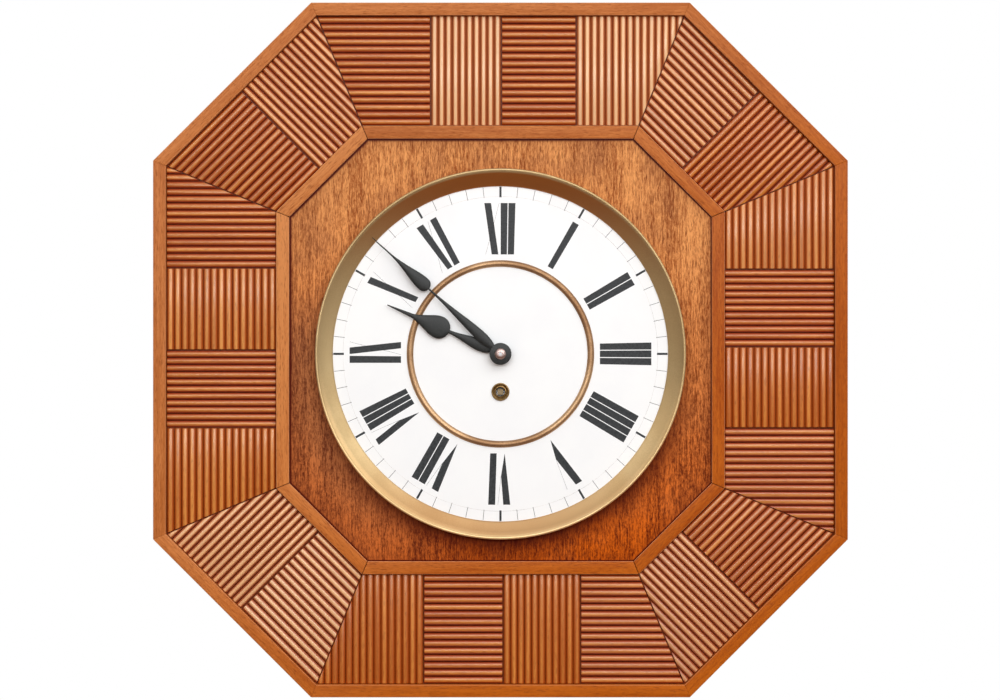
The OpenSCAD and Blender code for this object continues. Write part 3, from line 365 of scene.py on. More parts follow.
spots = n.math("MULTIPLY", n.ramp(fleck, 0.28, 0.68, -0.5, 0.5), given["Flecks"])
figure = n.math("ADD", figure, spots)
light = n.math("ADD", n.ramp(fibre, 0.30, 0.70, 0.25, 0.75), figure)
light = n.math("ADD", light, n.ramp(broad, 0.30, 0.70, -0.20, 0.20))
light = n.math("ADD", light, n.math("SUBTRACT", given["Tone"], 0.5), clamp=True)
colour = n.mix(light, given["Dark"], given["Light"])
colour = n.mix(pore, colour, given["Pore colour"])
n.feed(put["Colour"], colour)
n.feed(put["Roughness"], n.math("ADD", n.ramp(fibre, 0.2, 0.8, 0.30, 0.40),
                                n.math("MULTIPLY", pore, 0.18)))
n.feed(put["Height"], n.math("SUBTRACT", n.math("MULTIPLY", fibre, 0.35), pore))
print("grain group has", len(grain_group.nodes), "nodes")

# %% [markdown]
# ## Painted light, painted shadow and stains
# The front is painted lighter above and darker below, leaning towards its upper left: painted light. A
# painted shadow lies along the foot of the inner strip, and round the bezel, most of it below. Brown stains
# cloud the panel's lower left. Each is a mask over the front that is worked out from Object coordinates, in
# a group of its own, so that every wood can take it with its own colours.

# %% Masks for painted light, painted shadow and stains
# Where the painted shadow round the bezel begins, 0.6 mm inside its rim.
BEZEL_SHADOW_FROM = BEZEL_R - 0.6 * MM
# Painted light: a mask that is 0 low down and 1 high up, with a sideways lean, so that a wood is painted
# lighter above and darker below.
painted_light_group, n, given, put = new_group(
    "Painted light", [("Place", "vector"), ("Lean", "float", 1.0), ("Low", "float", -0.3),
                 ("High", "float", 0.3)], [("Fade", "float")])
place = n.xyz(given["Place"])
aside = n.math("MULTIPLY", place["X"], given["Lean"])
n.feed(put["Fade"], n.ramp(n.math("SUBTRACT", place["Z"], aside), given["Low"],
                           given["High"]))

# Painted shadow on the panel: a dark line along the foot of the inner strip, wider towards the upper left, a
# soft shade 14 mm wide beside it, and a soft shadow round the bezel, wider below and deepest below and to
# the right.
edge_group, n, given, put = new_group("Edge shade", [("Place", "vector")],
                                      [("Shade", "float")])
place = n.xyz(given["Place"])
across, upward = n.math("ABSOLUTE", place["X"]), n.math("ABSOLUTE", place["Z"])
straight = n.math("SUBTRACT", HALF_ACROSS - PANEL_AT, n.math("MAXIMUM", across, upward))
diagonal = n.math("MULTIPLY", n.math("ADD", across, upward), math.sqrt(0.5))
diagonal = n.math("SUBTRACT", CORNER_HALF_ACROSS - PANEL_AT, diagonal)
inset = n.math("MINIMUM", straight, diagonal)
lit_from = n.math("SUBTRACT", place["Z"], place["X"])
line_w = n.ramp(lit_from, -0.15, 0.2, 1.4 * MM, 3.4 * MM)
line = n.ramp(inset, 0.5 * MM, line_w, 0.9, 0.0)
line = n.math("ADD", line, n.ramp(inset, 0.0, 14 * MM, 0.22, 0.0))
# The bezel's painted shadow: 26 mm wide below it and 11 mm wide above it.
off_bezel = n.math("SUBTRACT", n.from_arbor(given["Place"]), BEZEL_SHADOW_FROM)
reach = n.ramp(place["Z"], -0.10, 0.0, 26 * MM, 11 * MM)
low_right = n.math("SUBTRACT", place["Z"], n.math("MULTIPLY", place["X"], 0.25))
depth = n.ramp(low_right, -0.18, 0.02, 0.85, 0.10)
bezel_shadow = n.ramp(off_bezel, 0.0, reach, depth, 0.0)
n.feed(put["Shade"], n.math("ADD", line, bezel_shadow, clamp=True))

brown_group, n, given, put = new_group("Brown clouds", [("Place", "vector")],
                                       [("Brown", "float")])
place = n.xyz(given["Place"])
cloud = n.ramp(n.noise(given["Place"], 26, detail=2), 0.42, 0.70, 0.0, 0.5)
upper_left = n.math("SUBTRACT", place["Z"], place["X"])
cloud = n.math("MULTIPLY", cloud, n.ramp(upper_left, -0.16, 0.0, 0.3, 1.0))
lower_left = n.math("MULTIPLY", n.ramp(place["X"], -0.16, 0.01, 0.9, 0.0),
                    n.ramp(place["Z"], 0.0, 0.08, 1.0, 0.0))
lower_left = n.math("MULTIPLY", lower_left, n.ramp(
    n.from_arbor(given["Place"]), BEZEL_R + 5.6 * MM, BEZEL_R + 42.6 * MM, 1.0, 0.6))
n.feed(put["Brown"], n.math("MAXIMUM", cloud, lower_left))
print("the grime begins", round(BEZEL_SHADOW_FROM / MM, 1), "mm from the hands' arbor")

# %% [markdown]
# ## The woods
# The strips, the reeds and the panel are one kind of wood with other tones and other wear, so one function
# makes them all from the groups above. The colours were picked from the clock's front, a dark and a light
# tone for each wood.

# %% Wood materials
# The dark of the painted shade: in the level reeds' hollows, and in the painted shadow along the inner strip
# and round the bezel.
SHADE_DARK = linear(78, 14, 2)
# Pale arrises: partly worn edges, partly a painted highlight.
RUBBED_AND_LIT = linear(236, 176, 132)
BROWN = (linear(106, 52, 28), linear(184, 114, 68))
# The pale colour of the painted highlight on the reeds' crowns.
SHEEN_COLOUR = linear(250, 212, 166)


def wood(name, lit_tones, shaded_tones, pore, ribbon, pores, coat=0.0, valley=None,
         object_grain=None, specular=0.15, painted_light=(1.0, -0.30, 0.30), edges=False,
         wear=0.0, flecks=(0.0, 0.0)):
    """A varnished wood. lit_tones and shaded_tones are pairs of a dark and a light tone, for the upper left
    of the clock and for its lower right; the change from one to the other is painted light, lighter above
    and darker below, and painted_light is that mask's lean, low and high. valley is the pair of colours low
    between the reeds, where they lie level and where they stand upright: a level hollow is painted darker,
    as painted shade, because light from above runs along an upright hollow only. object_grain turns Object
    coordinates into along, across and in, for a board without a grain attribute. edges adds the painted
    shadow along the inner strip and round the bezel, and the brown clouds. wear is how far sharp edges are
    painted pale, partly as worn edges and partly as a painted highlight. flecks is how much mottled figure
    there is in the lit and in the shaded part."""
    material, n, shader = new_material(name, Specular_IOR_Level=specular, Coat_Weight=coat,
                                       Coat_Roughness=0.25)
    place = n.object_coordinates()
    if object_grain is not None:
        turn = n.new("ShaderNodeMapping")
        n.feed(turn.inputs["Vector"], place)
        turn.inputs["Rotation"].default_value = object_grain
        grain, tone = turn.outputs[0], 0.5
    else:
        grain, tone = n.attribute("grain", True), n.attribute("tone")
    # Painted light: the colours go from the shaded pair below to the lit pair above.
    painted_light = n.group(painted_light_group, Place=place, Lean=painted_light[0], Low=painted_light[1],
                   High=painted_light[2])["Fade"]
    tones = [n.mix(painted_light, shaded_tones[0], lit_tones[0]), n.mix(painted_light, shaded_tones[1], lit_tones[1])]
    if edges:
        brown = n.group(brown_group, Place=place)["Brown"]
        tones = [n.mix(brown, tones[0], BROWN[0]), n.mix(brown, tones[1], BROWN[1])]
    spots = n.ramp(painted_light, 0.0, 1.0, flecks[1], flecks[0])
    out = n.group(grain_group, Grain=grain, Tone=tone, Ribbon=ribbon, Flecks=spots,
                  Pores=pores, Dark=tones[0], Light=tones[1], Pore_colour=pore)
    colour = out["Colour"]
    if valley:
        crown, upright = n.attribute("crown"), n.attribute("upright")
        # Painted highlight: a pale sheen on each crown, and a little of it low in the hollows.
        bloom = n.attribute("bloom")
        sheen_mask = n.math("MULTIPLY", bloom, n.ramp(crown, 0.75, 0.98))
        colour = n.mix(sheen_mask, colour, SHEEN_COLOUR)
        # Painted shade: a level hollow is darker than an upright one, since light from above runs along an
        # upright hollow only.
        low = n.mix(upright, valley[0], valley[1])
        low = n.mix(n.math("MULTIPLY", bloom, 0.13), low, SHEEN_COLOUR)
        colour = n.mix(n.ramp(crown, 0.80, 0.96), low, colour)
        gap = n.mix(upright, SHADE_DARK, valley[1])
        colour = n.mix(n.ramp(crown, 0.15, 0.68), gap, colour)
    # Pale arrises, partly worn and partly a painted highlight.
    if wear:
        worn_and_lit = n.math("MULTIPLY", n.ramp(n.attribute("wear"), 0.35, 1.0), wear)
        colour = n.mix(worn_and_lit, colour, RUBBED_AND_LIT)
    # Painted shadow along the inner strip and round the bezel.
    if edges:
        colour = n.mix(n.group(edge_group, Place=place)["Shade"], colour, SHADE_DARK)
    n.feed(shader["Base Color"], colour)
    n.feed(shader["Roughness"], out["Roughness"])
    n.feed(shader["Normal"], n.bump(out["Height"], 0.6, 0.12 * MM))
    return material


UPRIGHT = (0, math.radians(90), 0)
# In each wood the first pair of tones is the painted light above, the second the painted shade below.
outer_wood = wood("outer strip mahogany", (linear(180, 102, 48), linear(214, 136, 78)),
                  (linear(162, 75, 13), linear(194, 100, 22)), linear(120, 52, 14),
                  0.5, 0.45, specular=0.08, wear=0.25, flecks=(0.1, 0.3))
strip_wood = wood("inner strip mahogany", (linear(176, 98, 46), linear(212, 136, 76)),
                  (linear(160, 71, 14), linear(200, 105, 28)), linear(112, 46, 12),
                  0.5, 0.45, specular=0.08, wear=0.6, flecks=(0.1, 0.3))
# The reeds' valley pair is darker where they lie level: painted shade.
reed_wood = wood("reed mahogany", (linear(180, 98, 36), linear(228, 149, 70)),
                 (linear(178, 92, 30), linear(224, 141, 62)), linear(118, 50, 18),
                 0.30, 0.35, coat=1.0, valley=(linear(158, 58, 14), linear(172, 78, 16)))
panel_wood = wood("panel mahogany", (linear(152, 78, 30), linear(236, 160, 94)),
                  (linear(98, 25, 0), linear(218, 98, 8)), linear(96, 38, 10),
                  0.85, 0.6, object_grain=UPRIGHT, specular=0.06,
                  painted_light=(-0.12, -0.19, 0.15), edges=True, flecks=(0.45, 0.7))
DARK_PAIR = (linear(104, 42, 16), linear(136, 62, 26))
PLAIN_PAIR = (linear(150, 110, 70), linear(190, 148, 100))
base_wood = wood("dark base board", DARK_PAIR, DARK_PAIR, linear(60, 24, 10), 0.3, 0.4,
                 object_grain=(0, 0, 0))
back_wood = wood("plain back board", PLAIN_PAIR, PLAIN_PAIR, linear(92, 60, 36), 0.4, 0.6,
                 object_grain=UPRIGHT)
print("panel wood has", len(panel_wood.node_tree.nodes), "nodes")

# %% [markdown]
# ## The case
# The eight side boards are wide boards on edge. Only their front edges show, as the outer
# strip, with a mitre at each corner and edges that have been rubbed round. Each board is a
# rounded profile carried from mitre to mitre: at the distance v inwards it ends at half the
# side's length there, so the mitre comes by itself.

# %% Boards and strips between mitres
BOARD_GAP, BOARD_ROUND = 0.05 * MM, 0.7 * MM
STRIP_GAP, STRIP_ROUND = 0.3 * MM, 0.8 * MM


def rounded_profile(v0, v1, d0, d1, r, n=5):
    """A closed outline of (v, depth) with its two front corners rounded by quarter circles
    of radius r and its back corners left square."""
    return np.concatenate([[[v0, d0]], arc((v0 + r, d1 - r), r, 180, 90, n),
                           arc((v1 - r, d1 - r), r, 90, 0, n), [[v1, d0]]])


def mitred_stick(parts, k, profile, gap, tone):
    """The profile carried along side k, a gap short of each mitre. Its first and last stations lie there,
    with two more at each end just inside them, so that the ends look eased and the long part between stays
    flat. The last attribute marks the two front arrises, which are painted pale, partly as worn edges and
    partly as a painted highlight."""
    v, d = profile[:, 0], profile[:, 1]
    half = half_side(k, v) - gap
    inset = np.array([0.0, 0.35, 0.8])[:, None] * MM
    drop = np.array([0.2, 0.03, 0.0])[:, None] * (d > d.max() - 1.5 * MM) * MM
    stations = np.concatenate([inset - half, half - inset[::-1]])
    depth = d - np.concatenate([drop, drop[::-1]])
    points = on_side(k, stations, v[None, :], depth)
    columns = len(v)
    ends = [np.arange(columns)[::-1], np.arange(columns) + 5 * columns]
    faces = list(grid_quads(6, columns, wrap_columns=True)) + ends
    shift = rng.uniform(0, 9, 3)
    grain = np.stack(np.broadcast_arrays(stations + shift[0], v[None, :] + shift[1],
                                         depth + shift[2]), -1)
    arris = (np.abs(v - v.mean()) > 0.46 * np.ptp(v)) & (d > d.max() - 0.6 * MM)
    parts.add(points, faces, grain=grain, tone=tone,
              wear=np.broadcast_to(arris.astype(float), depth.shape))


# The tone of each board and strip, clockwise from the top
BOARD_TONE = [0.26, 0.32, 0.26, 0.46, 0.70, 0.52, 0.30, 0.40]
STRIP_TONE = [0.20, 0.30, 0.34, 0.34, 0.55, 0.62, 0.82, 0.60]
for name, first, node in (("side_boards_straight", 0, "case_sides_straight"),
                          ("side_boards_corner", 1, "case_sides_corner")):
    boards = Parts()
    for k in range(first, 8, 2):
        mitred_stick(boards, k, rounded_profile(0, BOARD_T, 0, CASE_DEPTH, BOARD_ROUND),
                     BOARD_GAP, BOARD_TONE[k])
    boards.piece(name, outer_wood, "case", "outer_wood", [node])

strips = Parts()
for k in range(8):
    profile = rounded_profile(STRIP_AT, PANEL_AT, BASE_FRONT, STRIP_TOP, STRIP_ROUND)
    mitred_stick(strips, k, profile, STRIP_GAP, STRIP_TONE[k])
strips.piece("inner_strips", strip_wood, "case", "strip_wood", ["inner_frame"])

# %% [markdown]
# ## The reeds
# The wide field is filled with panels of half round reeds that run along the side and across
# it by turns. On the real clock each reed is a quarter inch half round moulding, glued to
# the base board and trimmed to the mitre. Here a reed is a half circle swept between two
# end planes. Where it starts and ends is worked out for each of its long lines, so a mitred
# panel is cut on the slant.

# %% Panels of half round reeds
# Where each side's panels meet, in mm along it, clockwise from the top side
PANEL_JOINTS = [[-61.5, 0.9, 66.5], [0], [-71, -2.6, 68.5], [0],
                [-70.5, -2.2, 67.5], [0], [-68.5, 0, 72], [0]]
REEDS_ALONG = 15
REED_PITCH = 6.35 * MM
REED_GAP = 0.15 * MM
JOINT_GAP = 0.9 * MM
SHORTEST_REED, THIN_END = 2 * MM, 0.05 * MM
# The points across a reed, and how high its six stations stand
SECTION = 13
EASED = np.array([0.80, 0.95, 1, 1, 0.95, 0.80])


def reed_lines(k, start, end, first, last, along):
    """The long lines of all reeds of one panel: across (reeds, SECTION), and the places
    where each begins and ends. The panel is bounded by its joints or by the mitres, where
    half the side's length shrinks evenly from the outer to the inner strip."""
    near, far = FIELD_AT + JOINT_GAP / 2, STRIP_AT - JOINT_GAP / 2
    slope = (half_side(k, far) - half_side(k, near)) / (far - near)

    def mitre(v):
        return half_side(k, near) + slope * (v - near) - JOINT_GAP / 2

    span = FIELD_W - JOINT_GAP if along else end - start - JOINT_GAP
    count = REEDS_ALONG if along else round(span / REED_PITCH)
    pitch = span / count
    r = (pitch - REED_GAP) / 2
    phi = np.linspace(-np.pi / 2, np.pi / 2, SECTION)
    middle = (near if along else start + JOINT_GAP / 2) + (np.arange(count) + 0.5) * pitch
    across = middle[:, None] + r * np.sin(phi)[None, :]
    if along:
        low = -mitre(across) if first else np.full(across.shape, start + JOINT_GAP / 2)
        high = mitre(across) if last else np.full(across.shape, end - JOINT_GAP / 2)
    else:
        low = np.full(across.shape, near)
        high = np.full(across.shape, far)
        if last:
            high = np.minimum(high, near + (across - mitre(near)) / slope)
        if first:
            high = np.minimum(high, near + (-across - mitre(near)) / slope)
        high = np.maximum(high, low + THIN_END)
    return across, low, high, r * np.cos(phi)[None, :]


def reed_panel(parts, k, start, end, first, last, along, pale, bloom):
    """All reeds of one panel as one array of points (reeds, 6 stations, SECTION). The outer stations are
    EASED, a little lower, because the cut ends have been worn round. Upright is 1 for reeds that stand and 0
    for reeds that lie level. A panel's reeds share its pale tone, which is partly their own tone and partly
    painted light, and the strength of its painted highlight, a pale sheen on their crowns."""
    across, low, high, rise = reed_lines(k, start, end, first, last, along)
    keep = (high - low).max(1) > SHORTEST_REED
    across, low, high = across[keep], low[keep], high[keep]
    ease = np.minimum(0.7 * MM, (high - low) / 3)
    s = np.stack([low, low + ease / 3, low + ease, high - ease, high - ease / 3, high], 1)
    t = np.broadcast_to(across[:, None, :], s.shape)
    h = np.broadcast_to(rise[:, None, :] * EASED[None, :, None], s.shape)
    count = len(s)
    points = on_side(k, s if along else t, t if along else s, BASE_FRONT + h)
    per = 6 * SECTION
    quads = grid_quads(6, SECTION)
    column = np.arange(6) * SECTION
    caps = [np.arange(SECTION)[::-1], np.arange(SECTION) + 5 * SECTION]
    under = np.concatenate([column, column[::-1] + SECTION - 1])
    one = list(quads) + caps + [under]
    faces = [(f if along else f[::-1]) + i * per for i in range(count) for f in one]
    shift = rng.uniform(0, 9, (count, 1, 1))
    grain = np.stack([s + shift, t + shift, h + shift], -1)
    tone = rng.normal(0.5 + pale, 0.13, (count, 1, 1)).clip(0.1, 0.95)
    turn = math.radians(45 * k)
    upright = (math.sin(turn) if along else math.cos(turn)) ** 4
    parts.add(points, faces, grain=grain, tone=np.broadcast_to(tone, s.shape),
              crown=h / rise.max(), upright=np.full(s.shape, upright),
              bloom=np.full(s.shape, bloom))
    return count


# How pale each panel's reeds are, partly their own tone and partly painted light, and how strong the painted
# highlight on their crowns is, in the same order
PANEL_PALE = [[-0.15, 0.1, -0.2, 0.15], [0, 0], [0.1, -0.2, -0.1, -0.1], [-0.2, -0.12],
              [-0.1, -0.05, -0.1, -0.15], [0.2, 0.2], [0, -0.1, 0.05, -0.15], [-0.35, 0.05]]
PANEL_SHEEN = [[0, 0.58, 0, 0.56], [0.26, 0], [0.12, 0, 0, 0.05], [0.1, 0.34],
               [0.05, 0, 0, 0], [0.56, 0.48], [0, 0, 0.05, 0], [0.05, 0.2]]
SIDE_NAMES = ["top", "top_right", "right", "bottom_right", "bottom", "bottom_left", "left",
              "top_left"]
total = 0
for k, side in enumerate(SIDE_NAMES):
    field = Parts()
    joints = [-half_side(k, FIELD_AT), *(x * MM for x in PANEL_JOINTS[k]),
              half_side(k, FIELD_AT)]
    for j, (start, end) in enumerate(zip(joints[:-1], joints[1:])):
        total += reed_panel(field, k, start, end, j == 0, j == len(joints) - 2, j % 2 == 0,
                            PANEL_PALE[k][j], PANEL_SHEEN[k][j])
    field.piece("reeded_" + side, reed_wood, "case", "reed_wood", ["reeds_" + side],
                smooth=60)
print("reeds in all", total)

# %% [markdown]
# ## Brass
# The bezel and the moulding between the enamels are old brass: bronze where air has darkened it, paler where
# hands and cloths have worn it. A cloudy noise moves the colour between the two and roughens the dark
# places. On the bezel, light is painted in too: a painted highlight on its lower half, strongest at its rim
# and more to the right, and a painted dark reflection, brown, high up on its slope and a little at its foot.
# The movement's plates and wheels use the same group with cleaner colours.

# %% Metal materials
patina_group, n, given, put = new_group(
    "Patina", [("Place", "vector"), ("Bright", "colour"), ("Dull", "colour"),
               ("Amount", "float", 0.5), ("Least", "float", 0.34)],
    [("Colour", "colour"), ("Roughness", "float"), ("Height", "float")])
cloud = n.noise(given["Place"], 16, detail=4, rough=0.5)
speck = n.noise(given["Place"], 900, detail=2)
dull = n.ramp(n.math("ADD", cloud, n.math("MULTIPLY", n.math("SUBTRACT", speck, 0.5), 0.3)),
              0.36, 0.66)
dull = n.math("MULTIPLY", dull, given["Amount"])
n.feed(put["Colour"], n.mix(dull, given["Bright"], given["Dull"]))
n.feed(put["Roughness"], n.math("ADD", given["Least"], n.math("MULTIPLY", dull, 0.10)))
n.feed(put["Height"], speck)

# Painted highlight colours for the bezel's lower half.
BRASS_HIGHLIGHT = (linear(246, 214, 161), linear(228, 197, 145))


def metal(name, bright, dull, amount, least=0.34, dark_reflection=None):
    """A metal whose colour and gloss wander between bright and dull. least is its lowest roughness.
    dark_reflection, for the bezel alone, is the brown of a painted dark reflection on its slope inside the
    bead, high up and a little at the foot; with it the bezel also gets a painted highlight on its lower
    half."""
    material, n, shader = new_material(name, Metallic=1.0)
    place = n.object_coordinates()
    if dark_reflection:
        from_arbor, xyz = n.from_arbor(place), n.xyz(place)
        # Painted highlight: the lower half, most at the rim and more to the right.
        highlight_mask = n.math("MAXIMUM", n.ramp(from_arbor, BEZEL_R - 7.9 * MM, BEZEL_R - 3.9 * MM),
                         n.ramp(xyz["X"], -0.03, 0.13, 0.25, 0.7))
        highlight_mask = n.math("MULTIPLY", highlight_mask, n.ramp(xyz["Z"], -0.08, -0.01, 1.0, 0.0))
        bright, dull = n.mix(highlight_mask, bright, BRASS_HIGHLIGHT[0]), n.mix(highlight_mask, dull, BRASS_HIGHLIGHT[1])
        # Painted dark reflection: brown on the slope inside the bead, high up and a little at the bottom.
        inside = n.ramp(from_arbor, BEZEL_R - 4.4 * MM, BEZEL_R - 2.2 * MM, 1.0, 0.0)
        brown = n.math("ADD", n.ramp(xyz["Z"], 0.05, 0.16),
                       n.ramp(xyz["Z"], -0.17, -0.08, 0.52, 0.0))
        brown = n.math("MULTIPLY", brown, inside)
        bright, dull = n.mix(brown, bright, dark_reflection), n.mix(brown, dull, dark_reflection)
    out = n.group(patina_group, Place=place, Bright=bright, Dull=dull, Amount=amount,
                  Least=least)
    n.feed(shader["Base Color"], out["Colour"])
    n.feed(shader["Roughness"], out["Roughness"])
    n.feed(shader["Normal"], n.bump(out["Height"], 0.3, 0.01 * MM))
    return material


bezel_brass = metal("bezel brass", linear(206, 180, 134), linear(192, 165, 120), 0.9,
                    least=0.50, dark_reflection=linear(178, 110, 56))
ring_brass = metal("moulding brass", linear(198, 162, 124), linear(150, 112, 80), 0.9,
                   least=0.46)
grommet_brass = metal("grommet brass", linear(150, 120, 76), linear(74, 54, 30), 0.9)
brass = metal("movement brass", linear(222, 190, 122), linear(186, 148, 84), 0.7)
steel = metal("ground steel", linear(190, 190, 192), linear(140, 138, 136), 0.6)
blued_steel = metal("blued steel", linear(58, 70, 104), linear(34, 38, 52), 0.8)
nut_steel = metal("hand nut steel", linear(196, 172, 166), linear(112, 92, 88), 0.9)
square_steel = metal("winding square steel", linear(150, 132, 104), linear(84, 68, 48), 0.9)
print("patina group has", len(patina_group.nodes), "nodes")

# %% [markdown]
# ## Bezel and moulding
# The bezel is spun brass: a bead on its rim, a slope that is nearly straight down to the
# dial, and a thin edge that holds the enamel. The moulding that hides the joint between the
# two enamels is a half round. Both are one profile turned about the hands' arbor. It could
# be a curve with the Screw modifier, but an array gives the same surface in one step.

# %% Turned brass rings
def turned_part(parts, profile, steps, centre=ARBOR):
    """A closed profile of (radius, depth) in mm, turned all the way round into a piece."""
    parts.add(lathe_points(np.asarray(profile) * MM, steps, centre),
              grid_quads(steps, len(profile), wrap_rows=True, wrap_columns=True))


def turned(name, profile, steps, material, slot, replaces, body="case", centre=ARBOR):
    """A piece that is one turned profile."""
    parts = Parts()
    turned_part(parts, profile, steps, centre)
    parts.piece(name, material, body, slot, replaces, smooth=50)


BEZEL_IN, BEZEL_OUT, BEZEL_TOP, BEAD = 147.3, BEZEL_R / MM, 11.5, 1.3
top, bead = BEZEL_TOP - BEAD, BEZEL_OUT - BEAD
foot, shoulder = (BEZEL_IN + 0.5, 1.4), (BEZEL_OUT - 2 * BEAD, top - 0.8)
bezel_profile = np.concatenate([
    [[BEZEL_IN, 0.0], [BEZEL_OUT, 0.0]], arc((bead, top), BEAD, 0, 180, 13),
    bezier(shoulder, (shoulder[0] - 3.8, shoulder[1] - 3.1), (foot[0] + 4.2, foot[1] + 2.5),
           foot, 15), [[BEZEL_IN, 0.8]]])
bezel_profile[:, 1] += ENAMEL / MM
turned("brass_bezel", bezel_profile, 240, bezel_brass, "aged_brass", ["bezel"])

RING_R, RING_ROUND, RING_SINK = 79.45, 3.0, 0.6
ring_profile = arc((RING_R, -RING_SINK), RING_ROUND, 12, 168, 17)
ring_profile[:, 1] = np.maximum(ring_profile[:, 1], 0) + ENAMEL / MM
turned("dial_moulding", ring_profile, 200, ring_brass, "aged_brass", ["dial_ring"])

# %% [markdown]
# ## Enamel and black
# The dial is copper with fired white enamel, in two pieces. Enamel is not dead white: it
# has a faint warm cloudiness and a glassy surface. The print on it and the black of the
# hands are mottled too, only finer, so one group makes all four finishes: a noise that moves
# the colour and the roughness between two values.

# %% Mottled finishes
mottle_group, n, given, put = new_group(
    "Mottle", [("Place", "vector"), ("Scale", "float", 60.0), ("Detail", "float", 3.0),
               ("Start", "float", 0.3), ("First", "colour"), ("Second", "colour"),
               ("Smooth", "float", 0.35), ("Rough", "float", 0.5)],
    [("Colour", "colour"), ("Roughness", "float"), ("Height", "float")])
cloud = n.noise(given["Place"], given["Scale"], detail=given["Detail"])
n.feed(put["Colour"], n.mix(n.ramp(cloud, given["Start"], 0.7), given["First"],
                            given["Second"]))
n.feed(put["Roughness"], n.ramp(cloud, 0.3, 0.7, given["Smooth"], given["Rough"]))
n.feed(put["Height"], cloud)


def mottled(name, specular, scale, first, second, bump=0.0, **values):
    """A finish that wanders between two colours, with blotches 1 / scale metres wide."""
    material, n, shader = new_material(name, Specular_IOR_Level=specular)
    out = n.group(mottle_group, Place=n.object_coordinates(), Scale=scale,
                  First=linear(*first), Second=linear(*second), **values)
    n.feed(shader["Base Color"], out["Colour"])
    n.feed(shader["Roughness"], out["Roughness"])
    if bump:
        n.feed(shader["Normal"], n.bump(out["Height"], 0.5, bump))
    return material


enamel = mottled("white enamel", 0.35, 22, (252, 254, 255), (248, 250, 252), Start=0.35,
                 Smooth=0.28, Rough=0.36)
print_black = mottled("fired slate black", 0.3, 420, (36, 39, 42), (54, 57, 60))
faint = mottled("faint track line", 0.3, 60, (120, 112, 108), (236, 230, 226), Detail=4.0)
hand_black = mottled("hand black", 0.45, 700, (24, 28, 29), (40, 42, 41), bump=0.03 * MM,
                     Start=0.35, Smooth=0.42, Rough=0.55)
print("mottle group has", len(mottle_group.nodes), "nodes")

# %% [markdown]
# ## The figures
# The figures are fired on in a slate black. A picture of them on the dial would blur when
# the camera comes close, and a text object has no such figures, so each stroke is a very
# thin plate. All point outwards from the arbor, as on old dials: a figure is drawn upright
# over the 12 and turned to its hour.

# %% Figures: strokes as flat plates
FIGURE_IN, FIGURE_OUT = 87.4, 132.6
HAIR = 0.09
PLATE_LOW, PLATE_TOP = 85.47, 85.54


def plate(parts, hour_angle, corners):
    """A flat stroke of the dial's print. Its corners are (t, r) in mm: t clockwise and r
    outwards from the arbor, both measured in the frame that is turned to hour_angle."""
    corners = np.asarray(corners, float)
    a = math.radians(hour_angle)
    x = corners[:, 0] * math.cos(a) + corners[:, 1] * math.sin(a)
    z = corners[:, 1] * math.cos(a) - corners[:, 0] * math.sin(a)
    k = len(corners)
    points = np.empty((2, k, 3))
    points[:, :, 0], points[:, :, 2] = x * MM, z * MM + DIAL_Z
    points[0, :, 1], points[1, :, 1] = -PLATE_LOW * MM, -PLATE_TOP * MM
    sides = list(grid_quads(2, k, wrap_columns=True)[:, ::-1])
    parts.add(points, sides + [np.arange(k), (np.arange(k) + k)[::-1]])


def stroke(out0, out1, in0, in1):
    """A straight stroke from the outer circle, where it spans out0 to out1, to the inner
    circle, where it spans in0 to in1."""
    return [(in0, FIGURE_IN), (out0, FIGURE_OUT), (out1, FIGURE_OUT), (in1, FIGURE_IN)]


def hairline(t_out, t_in):
    return stroke(t_out - HAIR, t_out + HAIR, t_in - HAIR, t_in + HAIR)


def letter_v(out0, out1, knee, apex, hair_out):
    """A V with its foot to the middle: a thick limb that is cut off along the thin one. knee
    is the (t, r) where the thin limb leaves it and apex the t of the point."""
    return [[(apex, FIGURE_IN), (out0, FIGURE_OUT), (out1, FIGURE_OUT), knee],
            [(knee[0] - HAIR, knee[1]), (hair_out - HAIR, FIGURE_OUT),
             (hair_out + HAIR, FIGURE_OUT), (knee[0] + HAIR, knee[1])]]


def bars(count, out_left, out_right, in_left, in_right, gap=0.75):
    """count upright strokes side by side with a thin white gap between them."""
    wide_out = (out_right - out_left - gap * (count - 1)) / count
    wide_in = (in_right - in_left - gap * (count - 1)) / count
    return [stroke(out_left + i * (wide_out + gap), out_left + i * (wide_out + gap) + wide_out,
                   in_left + i * (wide_in + gap), in_left + i * (wide_in + gap) + wide_in)
            for i in range(count)]


FIGURES = {
    1: bars(1, -3.0, 3.0, -2.6, 2.6),
    2: bars(2, -6.5, 6.5, -5.6, 5.6),
    3: bars(3, -10.0, 10.0, -9.1, 9.1),
    4: bars(4, -13.4, 13.4, -12.6, 12.6),
    5: letter_v(-6.3, 0.0, (4.1, 104.6), -0.2, 8.8),
    6: letter_v(-8.6, -2.5, (-0.5, 107.5), -3.7, 2.3) + bars(1, 4.7, 10.8, 3.3, 9.0),
    7: letter_v(-13.2, -6.7, (-3.8, 109.0), -6.9, -1.4) + bars(2, 0.3, 13.6, 1.2, 13.6),
    8: letter_v(-15.9, -10.2, (-6.1, 106.2), -8.8, -3.2) + bars(3, -1.2, 18.4, 0.0, 15.3),
    9: bars(1, -7.9, -1.7, -7.9, -2.1) + [stroke(-0.2, 5.6, 4.9, 10.5),
                                          hairline(10.6, -0.6)],
    10: [stroke(-4.5, 1.6, 2.0, 7.0), hairline(6.6, -3.6)],
    11: [stroke(-8.7, -2.1, -3.0, 1.8), hairline(3.0, -8.6)] + bars(1, 5.0, 11.0, 3.8, 9.2),
    12: [stroke(-14.2, -8.3, -7.7, -1.8), hairline(-1.1, -13.0)]
        + bars(2, 0.2, 13.2, 0.2, 11.9),
}
figures = Parts()
for hour, strokes in FIGURES.items():
    for corners in strokes:
        plate(figures, 30 * hour, corners)
